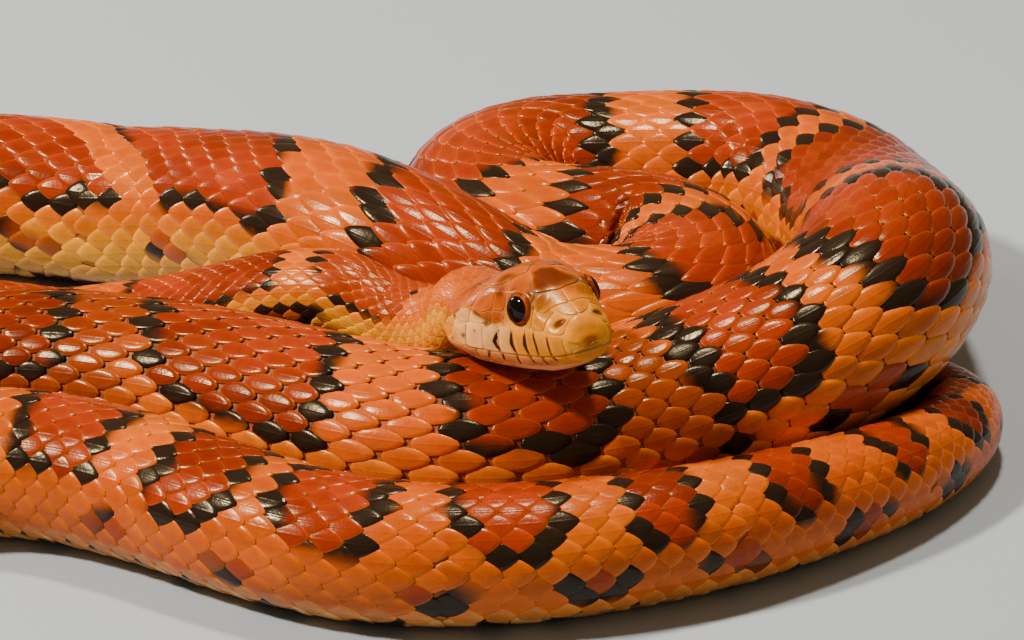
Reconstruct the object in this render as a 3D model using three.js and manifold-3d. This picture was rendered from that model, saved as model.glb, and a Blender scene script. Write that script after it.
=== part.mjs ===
// A corn snake in life size, lying in loose coils with its head laid on the middle coil.
// Millimetres. +Z is up and the floor is at Z = 0. The head looks towards +X and -Y.
import * as THREE from "three";
import { mergeVertices } from "three/addons/utils/BufferGeometryUtils.js";
import Module from "manifold-3d";

const wasm = await Module();
wasm.setup();

// The middle of the box round the coils, which becomes the origin.
const MIDDLE = [-50.2, 35.1];

// Sizes of the body: distances run from the snout along the middle line.
const HEAD_LENGTH = 24;
const NECK_END = 54;
const VENT = 915;
const TRUNK_LENGTHS = 14;
const TAIL_LENGTHS = 3;
const JOINT_GAP = 0.3;
const GIRTH = [
  [0, 5], [24, 4.9], [36, 4.7], [60, 5.7], [95, 6.5], [140, 7.7], [190, 8.9],
  [240, 10.1], [270, 10.9], [300, 11.4], [340, 11.8], [380, 11.9], [450, 11.6],
  [540, 11.3], [610, 11.1], [690, 10.5], [760, 9.8], [820, 9.2], [868, 8.7],
  [903, 8.2], [925, 7.7], [943, 7], [957, 6.2], [970, 5.3], [985, 4.2], [1000, 3.4],
  [1025, 2.4], [1050, 1.5], [1072, 0.5],
];
const GIRTH_BLEND = 10;

// The cross-section, as shares of the half width: a loaf with a flat belly.
const BELLY = 0.86;
const BACK = 0.94;
const FLAT_ANGLE = 23;
const SIDES = 16;
const INNER_BEND = 0.92;

// Steps along the body.
const STATION_STEP = 4;
const LONGEST_RING_STEP = 6;
const LARGEST_RING_TURN = 14;

// Rules by which touching coils settle against each other.
const CONTACT_GAP = 0.7;
const FREE_PATH = 1.45;
const SETTLE_ROUNDS = 260;
const HELD_ROUNDS = 156;
const HELD_HEAD = 30;
const SETTLE_SHARE = 0.3;
const RETURN_SHARE = 0.985;
const FLOOR_SNAP = [0.4, 1.2];
const FLOOR_TOUCH = 0.05;

// The head, from the back of the skull to the snout: distance, half width, top and bottom about the mouth's level.
const SNOUT = [8.5, -9.5, 28.6];
const HEAD_BASE = [-2.7, 11, 23.3];
const HEAD_ROLL = 3.5;
const ROLL_END = 60;
const HEAD_SECTIONS = [
  [0, 5.3, 4.3, -4.1],
  [2, 6.9, 4.3, -3.6],
  [4.5, 7.7, 4.9, -3.6],
  [8, 7.6, 6.2, -4.2],
  [11.5, 6.8, 7.4, -4.3],
  [15.3, 5.8, 7.1, -4.2],
  [18, 5.15, 5.8, -3.9],
  [20.3, 4.5, 4.3, -3.3],
  [22.2, 3.75, 3.1, -2.5],
  [23.4, 2.75, 2, -1.8],
  [23.9, 1.6, 1, -1.2],
];
const HEAD_SIDES = 24;
const HEAD_SQUARENESS = 0.86;
const EYE_PLACE = { along: 16.6, out: 3.9, up: 3.7 };
const EYE_RADIUS = 1.75;
const SOCKET_GAP = 0.3;

const SKIN = { color: 0xb5532a, roughness: 0.45, metalness: 0 };
const EYE = { color: 0x1a0d08, roughness: 0.08, metalness: 0 };

// Way points of a round bend on the floor, every 30 degrees.
function bend(centreX, centreY, radius, from, to) {
  const count = Math.round(Math.abs(to - from) / 30);
  return Array.from({ length: count + 1 }, (_, i) => {
    const angle = THREE.MathUtils.degToRad(from + ((to - from) * i) / count);
    return [centreX + radius * Math.cos(angle), centreY + radius * Math.sin(angle)];
  });
}

// Way points of the middle line: x, y and, where it is held off the floor, its height.
const WAY = [
  ...[0, 1 / 3, 2 / 3, 1, 7 / 6].map((share) =>
    new THREE.Vector3(...SNOUT).lerp(new THREE.Vector3(...HEAD_BASE), share).toArray(),
  ),
  // the neck, coming up over the middle coil
  [-6.2, 18, 18.7], [-9.6, 23, 16.2], [-14, 26.6, 15.6], [-19.5, 29.4, 17],
  [-27.5, 32.5, 15], [-36, 36, 11],
  // the forebody and its turn
  [-44.5, 39.5, 7.6], [-56, 42.3], [-72, 45.5], [-90, 49.5], [-108, 49], [-121, 41],
  [-126, 28], [-120, 16.5], [-106, 13.5], [-91, 18], [-76, 23.5], [-63, 26],
  // the middle coil
  [-52, 25.3], [-41, 21.3], [-31, 16], [-21.5, 10.5], [-11, 5.5], [0, 4.9], [10, 7.8], [21, 12.5, 10.6],
  // the ring, raised where the tail passes under it
  [32, 17.5, 12.4], [40.6, 24.3, 15], [45.1, 35, 15.6], [45.3, 49, 12.6], [44, 61, 10.6], [40.3, 72.5],
  [32, 80.8], [21, 83.3],
  // the two bends inside the ring
  ...bend(8.8, 70.2, 12.7, 90, 270),
  ...bend(9.8, 45.1, 12.4, 90, -90),
  // the far row, leaning on the first of the two bends
  [0, 34.8, 10.8], [-9, 39.5, 14], [-17, 45, 16], [-24.5, 52, 16], [-32.5, 60.5, 14], [-42, 69.3, 11.2],
  [-55, 76], [-70, 79.8],
  // the wide outer turn
  [-88, 81], [-106, 79.5], [-124, 73], [-139, 60.5], [-147, 42], [-146, 22], [-137, 5], [-122, -5],
  [-104, -6.5], [-88, -2], [-73, 3], [-60, 6], [-49, 4.5],
  // the near coil
  [-39, -0.5], [-30, -7], [-21, -12.5], [-11, -15.3], [0, -14.8], [10, -12], [21, -7.2], [32, 0],
  // the tail, passing under the ring
  [42.6, 9], [49.6, 18.5], [51.5, 27], [47.2, 34], [39, 34], [30, 30], [21, 25.5], [11, 22.5], [0, 21.5],
  [-11, 22.5], [-22, 26], [-31, 30],
];

// The half width of the body at a distance from the snout.
function girth(distance) {
  const plain = (d) => {
    const next = GIRTH.findIndex(([at]) => at > d);
    if (next < 1) return next === 0 ? GIRTH[0][1] : GIRTH.at(-1)[1];
    const [from, low] = GIRTH[next - 1];
    const [to, high] = GIRTH[next];
    return low + ((high - low) * (d - from)) / (to - from);
  };
  return (plain(distance - GIRTH_BLEND) + 2 * plain(distance) + plain(distance + GIRTH_BLEND)) / 4;
}

// The way points with a height for each: one that has none lies with its belly on the floor.
function wayPoints() {
  let travelled = 0;
  return WAY.map(([x, y, z], i) => {
    if (i > 0) travelled += Math.hypot(x - WAY[i - 1][0], y - WAY[i - 1][1]);
    return new THREE.Vector3(x, y, z ?? BELLY * girth(travelled));
  });
}

// Evenly spaced stations on a smooth line through the way points, the middle line never under the belly's height.
function layStations() {
  const curve = new THREE.CatmullRomCurve3(wayPoints(), false, "catmullrom", 0.5);
  curve.arcLengthDivisions = 24 * (WAY.length - 1);
  const length = curve.getLength();
  const count = Math.round(length / STATION_STEP);
  return curve.getSpacedPoints(count).map((centre, i) => {
    const at = (length * i) / count;
    const half = girth(at);
    centre.z = Math.max(centre.z, BELLY * half);
    return { at, half, centre };
  });
}

// The distance at which two stations of the body touch, less where one lies above the other.
function reach(a, b, lean) {
  return (a.half + b.half) * Math.sqrt(1 - lean ** 2 + (0.9 * lean) ** 2) + CONTACT_GAP;
}

// Coils that would pass through each other are pushed apart, the push spread smoothly along the body.
function settle(stations) {
  const pairs = [];
  for (const [i, a] of stations.entries())
    for (const [j, b] of stations.entries())
      if (b.at - a.at > FREE_PATH * (a.half + b.half)) pairs.push([i, j]);
  const shift = stations.map(() => new THREE.Vector3());
  const apart = new THREE.Vector3();
  for (let round = 0; round < SETTLE_ROUNDS; round++) {
    const push = stations.map(() => new THREE.Vector3());
    const hits = stations.map(() => 0);
    for (const [i, j] of pairs) {
      apart.copy(stations[j].centre).add(shift[j]).sub(stations[i].centre).sub(shift[i]);
      const distance = apart.length();
      const overlap = reach(stations[i], stations[j], apart.z / distance) - distance;
      if (overlap <= 0) continue;
      apart.multiplyScalar((SETTLE_SHARE * overlap) / distance);
      push[j].add(apart);
      push[i].sub(apart);
      hits[i] += 1;
      hits[j] += 1;
    }
    shift.forEach((v, i) => v.addScaledVector(push[i], 1 / Math.sqrt(Math.max(1, hits[i]))));
    for (let pass = 0; pass < 2; pass++) {
      const before = shift.map((v) => v.clone());
      for (let i = 1; i < shift.length - 1; i++)
        shift[i].multiplyScalar(0.5).addScaledVector(before[i - 1], 0.25).addScaledVector(before[i + 1], 0.25);
    }
    for (const [i, station] of stations.entries()) {
      if (station.at < HELD_HEAD) shift[i].set(0, 0, 0);
      if (round < HELD_ROUNDS) shift[i].multiplyScalar(RETURN_SHARE);
      shift[i].z = Math.max(shift[i].z, BELLY * station.half - station.centre.z);
    }
  }
  stations.forEach(({ centre }, i) => centre.add(shift[i]));
}

// Stations that all but touch the floor are laid flat on it.
function layOnFloor(stations) {
  const [near, clear] = FLOOR_SNAP;
  for (const { half, centre } of stations) {
    const lift = centre.z - BELLY * half;
    if (lift < clear) centre.z = BELLY * half + Math.max(0, (lift - near) / (clear - near)) * clear;
  }
}

// Each station gets its direction and the way and amount that the body bends there.
function aim(stations) {
  const last = stations.length - 1;
  const chord = (i, j) => new THREE.Vector3().subVectors(stations[j].centre, stations[i].centre).normalize();
  stations.forEach((station, i) => {
    const before = Math.max(i - 1, 0);
    const after = Math.min(i + 1, last);
    station.along = chord(before, after);
    station.curl = new THREE.Vector3();
    if (i > 1 && i < last - 1)
      station.curl.subVectors(chord(i, i + 2), chord(i - 2, i)).divideScalar(2 * STATION_STEP);
  });
}

const stations = layStations();
settle(stations);
layOnFloor(stations);
aim(stations);
const BODY_LENGTH = stations.at(-1).at;

// The frame of the body at any distance: centre, direction, up, side, half width and curl.
function frameAt(distance) {
  const place = THREE.MathUtils.clamp(distance / (BODY_LENGTH / (stations.length - 1)), 0, stations.length - 1);
  const low = Math.min(Math.floor(place), stations.length - 2);
  const share = place - low;
  const mixed = (key) => stations[low][key].clone().lerp(stations[low + 1][key], share);
  const along = mixed("along").normalize();
  const roll = HEAD_ROLL * THREE.MathUtils.smoothstep(ROLL_END - distance, 0, ROLL_END - HEAD_LENGTH);
  const up = new THREE.Vector3(0, 0, 1).addScaledVector(along, -along.z).normalize()
    .applyAxisAngle(along, THREE.MathUtils.degToRad(-roll));
  const side = new THREE.Vector3().crossVectors(along, up);
  return { centre: mixed("centre"), along, up, side, curl: mixed("curl"), half: girth(distance) };
}

// One ring of the loaf section. In a tight bend the inner flank stays short of the bend's centre.
function bodyRing(distance) {
  const { centre, up, side, curl, half } = frameAt(distance);
  const inward = Math.sign(curl.dot(side));
  const tightest = INNER_BEND / Math.max(Math.abs(curl.dot(side)), 1e-6);
  return Array.from({ length: SIDES }, (_, k) => {
    const angle = THREE.MathUtils.degToRad(-180 + FLAT_ANGLE + ((360 - 2 * FLAT_ANGLE) * k) / (SIDES - 1));
    const wide = half * Math.sin(angle);
    const pinch = Math.sign(wide) === inward ? Math.min(1, tightest / half) : 1;
    const high = half * Math.max(BACK * Math.cos(angle), -BELLY);
    const point = centre.clone().addScaledVector(side, wide * pinch).addScaledVector(up, high);
    if (point.z < FLOOR_TOUCH) point.z = 0;
    return point;
  });
}

// A closed surface over a row of rings, with a fan over each end.
function loft(rings) {
  const size = rings[0].length;
  const middle = (ring) => ring.reduce((sum, p) => sum.add(p), new THREE.Vector3()).divideScalar(size);
  const points = [...rings.flat(), middle(rings[0]), middle(rings.at(-1))];
  const start = points.length - 2;
  const faces = [];
  for (let k = 0; k < size; k++) {
    const next = (k + 1) % size;
    for (let row = 0; row < rings.length - 1; row++) {
      const [a, b, c, d] = [row * size + k, row * size + next, (row + 1) * size + next, (row + 1) * size + k];
      faces.push(a, b, c, a, c, d);
    }
    const end = (rings.length - 1) * size;
    faces.push(start, next, k, start + 1, end + k, end + next);
  }
  const geometry = new THREE.BufferGeometry().setFromPoints(points).setIndex(faces);
  geometry.computeVertexNormals();
  return geometry;
}

// Ring places from one distance to another, closer where the body bends more.
function ringPlaces(from, to) {
  const steps = 48;
  const effort = [0];
  for (let i = 1; i <= steps; i++) {
    const { curl } = frameAt(from + ((to - from) * (i - 0.5)) / steps);
    const turn = THREE.MathUtils.radToDeg(curl.length());
    effort.push(effort[i - 1] + ((to - from) / steps) * Math.max(1 / LONGEST_RING_STEP, turn / LARGEST_RING_TURN));
  }
  const count = Math.ceil(effort[steps]);
  return Array.from({ length: count + 1 }, (_, i) => {
    const want = (effort[steps] * i) / count;
    const next = Math.max(1, effort.findIndex((e) => e >= want - 1e-9));
    const share = (want - effort[next - 1]) / (effort[next] - effort[next - 1]);
    return from + ((to - from) * (next - 1 + share)) / steps;
  });
}

// One length of the body between two distances, its end faces drawn in by half the joint gap.
function bodyLength(from, to) {
  const rings = ringPlaces(from, to).map(bodyRing);
  rings[0].forEach((p) => p.addScaledVector(frameAt(from).along, JOINT_GAP / 2));
  rings.at(-1).forEach((p) => p.addScaledVector(frameAt(to).along, -JOINT_GAP / 2));
  return loft(rings);
}

// The head's frame: its axis runs straight from the back of the skull to the snout.
const headAxis = new THREE.Vector3().subVectors(new THREE.Vector3(...SNOUT), new THREE.Vector3(...HEAD_BASE));
const headFrame = new THREE.Matrix4();
{
  const forward = headAxis.clone().normalize();
  const left = new THREE.Vector3(0, 0, 1).cross(forward).normalize()
    .applyAxisAngle(forward, THREE.MathUtils.degToRad(HEAD_ROLL));
  const up = new THREE.Vector3().crossVectors(forward, left);
  headFrame.makeBasis(forward, left, up).setPosition(...HEAD_BASE);
}

// A rounded box section of the head, its points in the order of the body's rings.
function headRing([along, wide, top, bottom]) {
  return Array.from({ length: HEAD_SIDES }, (_, k) => {
    const angle = (2 * Math.PI * k) / HEAD_SIDES;
    const across = Math.sign(Math.sin(angle)) * Math.abs(Math.sin(angle)) ** HEAD_SQUARENESS;
    const tall = Math.abs(Math.cos(angle)) ** HEAD_SQUARENESS;
    const height = Math.cos(angle) > 0 ? top * tall : bottom * tall;
    return new THREE.Vector3(along, -wide * across, height);
  });
}

// A solid for cutting, from a closed geometry.
function solidOf(geometry) {
  const bare = geometry.clone().deleteAttribute("normal").deleteAttribute("uv");
  const merged = mergeVertices(bare, 1e-4);
  return new wasm.Manifold(new wasm.Mesh({
    numProp: 3,
    vertProperties: merged.getAttribute("position").array,
    triVerts: new Uint32Array(merged.getIndex().array),
  }));
}

// A geometry from a cut solid.
function geometryOf(solid) {
  const mesh = solid.getMesh();
  const geometry = new THREE.BufferGeometry();
  geometry.setAttribute("position", new THREE.BufferAttribute(mesh.vertProperties, 3));
  geometry.setIndex(new THREE.BufferAttribute(mesh.triVerts, 1));
  geometry.computeVertexNormals();
  return geometry;
}

// The head with a socket on each side for the eye.
function headGeometry() {
  const body = solidOf(loft(HEAD_SECTIONS.map(headRing)));
  const sockets = [-1, 1].map((sign) =>
    solidOf(new THREE.SphereGeometry(EYE_RADIUS + SOCKET_GAP, 20, 14))
      .translate([EYE_PLACE.along, sign * EYE_PLACE.out, EYE_PLACE.up]),
  );
  return geometryOf(body.subtract(sockets[0]).subtract(sockets[1])).applyMatrix4(headFrame);
}

function addMesh(group, name, geometry, look) {
  const mesh = new THREE.Mesh(geometry, new THREE.MeshStandardMaterial(look));
  mesh.name = name;
  group.add(mesh);
}

const snake = new THREE.Group();
snake.position.set(-MIDDLE[0], -MIDDLE[1], 0);

addMesh(snake, "head", headGeometry(), SKIN);
for (const [name, sign] of [["eye_left", 1], ["eye_right", -1]]) {
  const ball = new THREE.SphereGeometry(EYE_RADIUS, 20, 14)
    .translate(EYE_PLACE.along, sign * EYE_PLACE.out, EYE_PLACE.up)
    .applyMatrix4(headFrame);
  addMesh(snake, name, ball, EYE);
}

// The neck, the trunk and the tail, one length after another.
addMesh(snake, "neck", bodyLength(HEAD_LENGTH, NECK_END), SKIN);
const trunkStep = (VENT - NECK_END) / TRUNK_LENGTHS;
for (let i = 0; i < TRUNK_LENGTHS; i++) {
  const from = NECK_END + i * trunkStep;
  addMesh(snake, `trunk_${String(i + 1).padStart(2, "0")}`, bodyLength(from, from + trunkStep), SKIN);
}
const tailStep = (BODY_LENGTH - VENT) / TAIL_LENGTHS;
for (let i = 0; i < TAIL_LENGTHS; i++) {
  const from = VENT + i * tailStep;
  addMesh(snake, `tail_${i + 1}`, bodyLength(from, from + tailStep), SKIN);
}

export default snake;
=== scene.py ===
"""A corn snake in life size, lying in loose coils on its belly, as a museum model.

One skin runs from the snout to the tip of the tail, in place of the solid lengths of head, neck, trunk and
tail. Scales, belly plates and head shields are solid meshes laid over it, and all take their colours from
one set of markings. The body is worked out in millimetres, and meshes are written in metres.
"""

import logging
import math
from dataclasses import dataclass, field
from enum import Enum

import bpy
import numpy as np
from bpy.types import Material, Node, NodeSocket, Object
from mathutils import Euler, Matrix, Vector


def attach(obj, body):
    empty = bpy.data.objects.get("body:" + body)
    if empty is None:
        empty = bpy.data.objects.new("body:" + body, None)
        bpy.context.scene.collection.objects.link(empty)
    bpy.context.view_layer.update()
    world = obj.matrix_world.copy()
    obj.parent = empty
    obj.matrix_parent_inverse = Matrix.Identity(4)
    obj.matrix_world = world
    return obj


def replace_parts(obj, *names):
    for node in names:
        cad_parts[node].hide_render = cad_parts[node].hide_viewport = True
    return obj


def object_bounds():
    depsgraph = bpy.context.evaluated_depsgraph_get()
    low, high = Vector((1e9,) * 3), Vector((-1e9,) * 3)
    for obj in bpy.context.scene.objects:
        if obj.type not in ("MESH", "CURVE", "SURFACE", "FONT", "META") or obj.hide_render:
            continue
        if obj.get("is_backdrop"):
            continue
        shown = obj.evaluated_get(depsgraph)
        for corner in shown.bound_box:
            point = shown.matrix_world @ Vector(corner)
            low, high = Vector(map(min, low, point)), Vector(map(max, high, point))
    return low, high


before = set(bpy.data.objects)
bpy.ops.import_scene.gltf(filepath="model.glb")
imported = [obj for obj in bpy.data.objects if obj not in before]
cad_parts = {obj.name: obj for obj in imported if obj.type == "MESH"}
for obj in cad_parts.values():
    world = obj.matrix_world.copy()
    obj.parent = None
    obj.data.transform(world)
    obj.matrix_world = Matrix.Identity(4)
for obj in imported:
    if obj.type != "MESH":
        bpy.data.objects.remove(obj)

logging.basicConfig(level=logging.INFO, format="%(message)s")
LOG = logging.getLogger("corn_snake")

METRES = 0.001
HEAD_LENGTH = 24.0
VENT = 915.0
UPWARD = np.array([0.0, 0.0, 1.0])
# The middle of the model's box on the floor, in the frame of the way points.
MIDDLE = np.array([-50.2, 35.1, 0.0])

Array = np.ndarray
Span = tuple[float, float]
Point = tuple[float, float, float]
Colour = tuple[float, float, float, float]
Pairs = tuple[Span, ...]
Screen = tuple[int, int, int]


def smooth(value: Array, low: float, high: float) -> Array:
    """A soft step from 0 at low to 1 at high."""
    share = np.clip((value - low) / (high - low), 0.0, 1.0)
    return share * share * (3.0 - 2.0 * share)


def unit(vectors: Array) -> Array:
    """The vectors at length one."""
    return vectors / np.maximum(np.linalg.norm(vectors, axis=-1, keepdims=True), 1e-9)


def ripple(a: Array, b: Array, seed: float) -> Array:
    """A soft irregular wave of two coordinates, made of three crossing sines.

    Args:
        a: The first coordinate.
        b: The second.
        seed: What shifts the sines, for another pattern.

    Returns:
        Values from about -1 to 1.
    """
    first = np.sin(1.31 * a + 1.7 * np.sin(0.83 * b + seed) + 2.1 * seed)
    second = np.sin(0.77 * b - 1.9 * np.sin(0.59 * a - 1.3 * seed) + seed)
    third = np.sin(2.3 * a + 1.9 * b + 3.7 * seed)
    return (first + second + 0.6 * third) / 2.6


def read_off(table: Pairs, place: Array) -> Array:
    """The values of a table of (place, value) rows at places between them."""
    return np.interp(place, *np.array(table).T)


def off_axis(points: Array, centre: Array, axis: Array) -> tuple[Array, Array]:
    """Measures points from an axis.

    Args:
        points: The points.
        centre: Where the axis starts.
        axis: Its direction, at length one.

    Returns:
        How far each point is along the axis, and how far off it.
    """
    apart = points - centre
    depth = apart @ axis
    return depth, np.linalg.norm(apart - depth[..., None] * axis, axis=-1)


@dataclass(frozen=True)
class Wave:
    """An irregular pattern, by the size of its patches along and across, and a seed."""

    along: float
    across: float
    seed: float

    def read(self, a: Array, b: Array) -> Array:
        """The pattern at places along and across, from about -1 to 1."""
        return ripple(a / self.along, b / self.across, self.seed)


@dataclass
class MiddleLine:
    """The line through the middle of the body, settled so that coils touch without overlap."""

    girths: Pairs = (
        (0, 5), (24, 4.9), (36, 4.7), (60, 5.7), (95, 6.5), (140, 7.7), (190, 8.9),
        (240, 10.1), (270, 10.9), (300, 11.4), (340, 11.8), (380, 11.9), (450, 11.6),
        (540, 11.3), (610, 11.1), (690, 10.5), (760, 9.8), (820, 9.2), (868, 8.7),
        (903, 8.2), (925, 7.7), (943, 7), (957, 6.2), (970, 5.3), (985, 4.2), (1000, 3.4),
        (1025, 2.4), (1050, 1.5), (1072, 0.5),
    )
    girth_shifts: Point = (-10, 0, 10)
    belly: float = 0.86
    bend_step: int = 30
    span_samples: int = 24
    station_step: float = 4.0
    contact_gap: float = 0.7
    contact_height: float = 0.9
    free_path: float = 1.45
    settle_rounds: int = 260
    held_rounds: int = 156
    held_head: float = 30.0
    settle_share: float = 0.3
    return_share: float = 0.985
    floor_snap: Span = (0.4, 1.2)
    snout: Point = (8.5, -9.5, 28.6)
    head_base: Point = (-2.7, 11, 23.3)
    roll: float = 3.5
    roll_end: float = 60.0
    fine: int = 8

    def girth(self, distance: Array) -> Array:
        """The half width of the body at distances from the snout, blended a little along it."""
        before, here, after = (read_off(self.girths, distance + shift) for shift in self.girth_shifts)
        return (before + 2.0 * here + after) / 4.0

    def way_points(self) -> list[tuple[float, ...]]:
        """Lists the way points.

        Returns:
            For each x, y and, where the line is held off the floor, its height.
        """
        tip = np.array(self.snout)
        base = np.array(self.head_base)
        return [
            *[tuple(tip + (base - tip) * share) for share in (0, 1 / 3, 2 / 3, 1, 7 / 6)],
            (-6.2, 18, 18.7), (-9.6, 23, 16.2), (-14, 26.6, 15.6), (-19.5, 29.4, 17), (-27.5, 32.5, 15),
            (-36, 36, 11), (-44.5, 39.5, 7.6), (-56, 42.3), (-72, 45.5), (-90, 49.5), (-108, 49), (-121, 41),
            (-126, 28), (-120, 16.5), (-106, 13.5), (-91, 18), (-76, 23.5), (-63, 26),
            (-52, 25.3), (-41, 21.3), (-31, 16), (-21.5, 10.5), (-11, 5.5), (0, 4.9), (10, 7.8),
            (21, 12.5, 10.6), (32, 17.5, 12.4), (40.6, 24.3, 15), (45.1, 35, 15.6), (45.3, 49, 12.6),
            (44, 61, 10.6), (40.3, 72.5), (32, 80.8), (21, 83.3),
            *self.bend((8.8, 70.2), 12.7, 90, 270),
            *self.bend((9.8, 45.1), 12.4, 90, -90),
            (0, 34.8, 10.8), (-9, 39.5, 14), (-17, 45, 16), (-24.5, 52, 16), (-32.5, 60.5, 14),
            (-42, 69.3, 11.2), (-55, 76), (-70, 79.8), (-88, 81), (-106, 79.5), (-124, 73), (-139, 60.5),
            (-147, 42), (-146, 22), (-137, 5), (-122, -5), (-104, -6.5), (-88, -2), (-73, 3), (-60, 6),
            (-49, 4.5), (-39, -0.5), (-30, -7), (-21, -12.5), (-11, -15.3), (0, -14.8), (10, -12),
            (21, -7.2), (32, 0), (42.6, 9), (49.6, 18.5), (51.5, 27), (47.2, 34), (39, 34), (30, 30),
            (21, 25.5), (11, 22.5), (0, 21.5), (-11, 22.5), (-22, 26), (-31, 30),
        ]

    def bend(self, centre: Span, radius: float, start: int, end: int) -> list[Span]:
        """Way points of a round bend on the floor, at even angles.

        Args:
            centre: Its middle on the floor.
            radius: Its radius.
            start: The angle that it starts at, in degrees.
            end: The angle that it ends at.

        Returns:
            The points, in order.
        """
        count = round(abs(end - start) / self.bend_step)
        angles = [math.radians(start + (end - start) * i / count) for i in range(count + 1)]
        return [(centre[0] + radius * math.cos(a), centre[1] + radius * math.sin(a)) for a in angles]

    def laid_points(self) -> Array:
        """Gives every way point a height: one that has none lies with its belly on the floor.

        Returns:
            The points, one to a row.
        """
        points = self.way_points()
        flat = np.array([p[:2] for p in points])
        travelled = np.concatenate([[0.0], np.cumsum(np.hypot(*np.diff(flat, axis=0).T))])
        resting = self.belly * self.girth(travelled)
        heights = [p[2] if len(p) == 3 else low for p, low in zip(points, resting)]
        return np.column_stack([flat, heights])

    @staticmethod
    def spline(points: Array, place: Array) -> Array:
        """Points on the even Catmull-Rom curve through the given ones.

        Args:
            points: What the curve passes through.
            place: Where to read it, in spans from the first point.

        Returns:
            The places on the curve.
        """
        ends = np.vstack([2 * points[0] - points[1], points, 2 * points[-1] - points[-2]])
        span = np.clip(np.floor(place).astype(int), 0, len(points) - 2)
        t = (place - span)[:, None]
        p0, p1, p2, p3 = (ends[span + k] for k in range(4))
        start, end = (p2 - p0) / 2, (p3 - p1) / 2
        square = -3 * p1 + 3 * p2 - 2 * start - end
        cube = 2 * p1 - 2 * p2 + start + end
        return p1 + start * t + square * t ** 2 + cube * t ** 3

    def stations(self) -> tuple[Array, Array, Array]:
        """Sets out evenly spaced stations on the smooth line.

        Returns:
            Their distances, half widths and centres.
        """
        points = self.laid_points()
        spans = len(points) - 1
        table = np.linspace(0, spans, self.span_samples * spans + 1)
        drawn = self.spline(points, table)
        lengths = np.concatenate([[0.0], np.cumsum(np.linalg.norm(np.diff(drawn, axis=0), axis=1))])
        count = round(lengths[-1] / self.station_step)
        at = lengths[-1] * np.arange(count + 1) / count
        centre = self.spline(points, np.interp(at, lengths, table))
        half = self.girth(at)
        centre[:, 2] = np.maximum(centre[:, 2], self.belly * half)
        return at, half, centre

    def settle(self, at: Array, half: Array, centre: Array) -> Array:
        """Pushes coils that would pass through each other apart, the push spread along the body.

        Args:
            at: Distances of the stations.
            half: Half widths there.
            centre: Their centres.

        Returns:
            The settled centres.
        """
        first, second = np.triu_indices(len(at), 1)
        sizes = half[first] + half[second]
        free = at[second] - at[first] > self.free_path * sizes
        first, second, sizes = first[free], second[free], sizes[free]
        shift = np.zeros_like(centre)
        for turn in range(self.settle_rounds):
            placed = centre + shift
            apart = placed[second] - placed[first]
            distance = np.linalg.norm(apart, axis=1)
            lean = apart[:, 2] / distance
            height = np.sqrt(1 - lean ** 2 + (self.contact_height * lean) ** 2)
            overlap = sizes * height + self.contact_gap - distance
            hit = overlap > 0
            step = apart[hit] * (self.settle_share * overlap[hit] / distance[hit])[:, None]
            push = np.zeros_like(shift)
            np.add.at(push, second[hit], step)
            np.add.at(push, first[hit], -step)
            hits = np.bincount(np.concatenate([first[hit], second[hit]]), minlength=len(at))
            shift += push / np.sqrt(np.maximum(1, hits))[:, None]
            for _ in range(2):
                shift[1:-1] = 0.5 * shift[1:-1] + 0.25 * (shift[:-2] + shift[2:])
            shift[at < self.held_head] = 0.0
            if turn < self.held_rounds:
                shift *= self.return_share
            shift[:, 2] = np.maximum(shift[:, 2], self.belly * half - centre[:, 2])
        return centre + shift

    def lay_on_floor(self, half: Array, centre: Array) -> None:
        """Lays stations that all but touch the floor flat on it.

        Args:
            half: Half widths of the stations.
            centre: Their centres, which are changed.
        """
        near, clear = self.floor_snap
        lift = centre[:, 2] - self.belly * half
        laid = np.maximum(0.0, (lift - near) / (clear - near)) * clear
        centre[:, 2] = np.where(lift < clear, self.belly * half + laid, centre[:, 2])

    def trace(self) -> dict[str, Array]:
        """Draws the finished line at close steps.

        Returns:
            Its distances, centres, directions along, up and to the side, and how it bends to the side.
        """
        at, half, centre = self.stations()
        centre = self.settle(at, half, centre)
        self.lay_on_floor(half, centre)
        place = np.linspace(0, len(at) - 1, (len(at) - 1) * self.fine + 1)
        fine_at = np.interp(place, np.arange(len(at)), at)
        fine_centre = self.spline(centre, place)
        along = unit(np.gradient(fine_centre, fine_at, axis=0))
        up = unit(UPWARD - along * along[:, 2:])
        rolled = smooth(self.roll_end - fine_at, 0.0, self.roll_end - HEAD_LENGTH)
        turned = np.radians(-self.roll * rolled)[:, None]
        up = up * np.cos(turned) + np.cross(along, up) * np.sin(turned)
        side = np.cross(along, up)
        bend = np.einsum("ij,ij->i", np.gradient(along, fine_at, axis=0), side)
        window = np.hanning(2 * self.fine + 1)
        bend = np.convolve(bend, window / window.sum(), mode="same")
        return {"at": fine_at, "centre": fine_centre, "along": along, "up": up, "side": side, "bend": bend}


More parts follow.
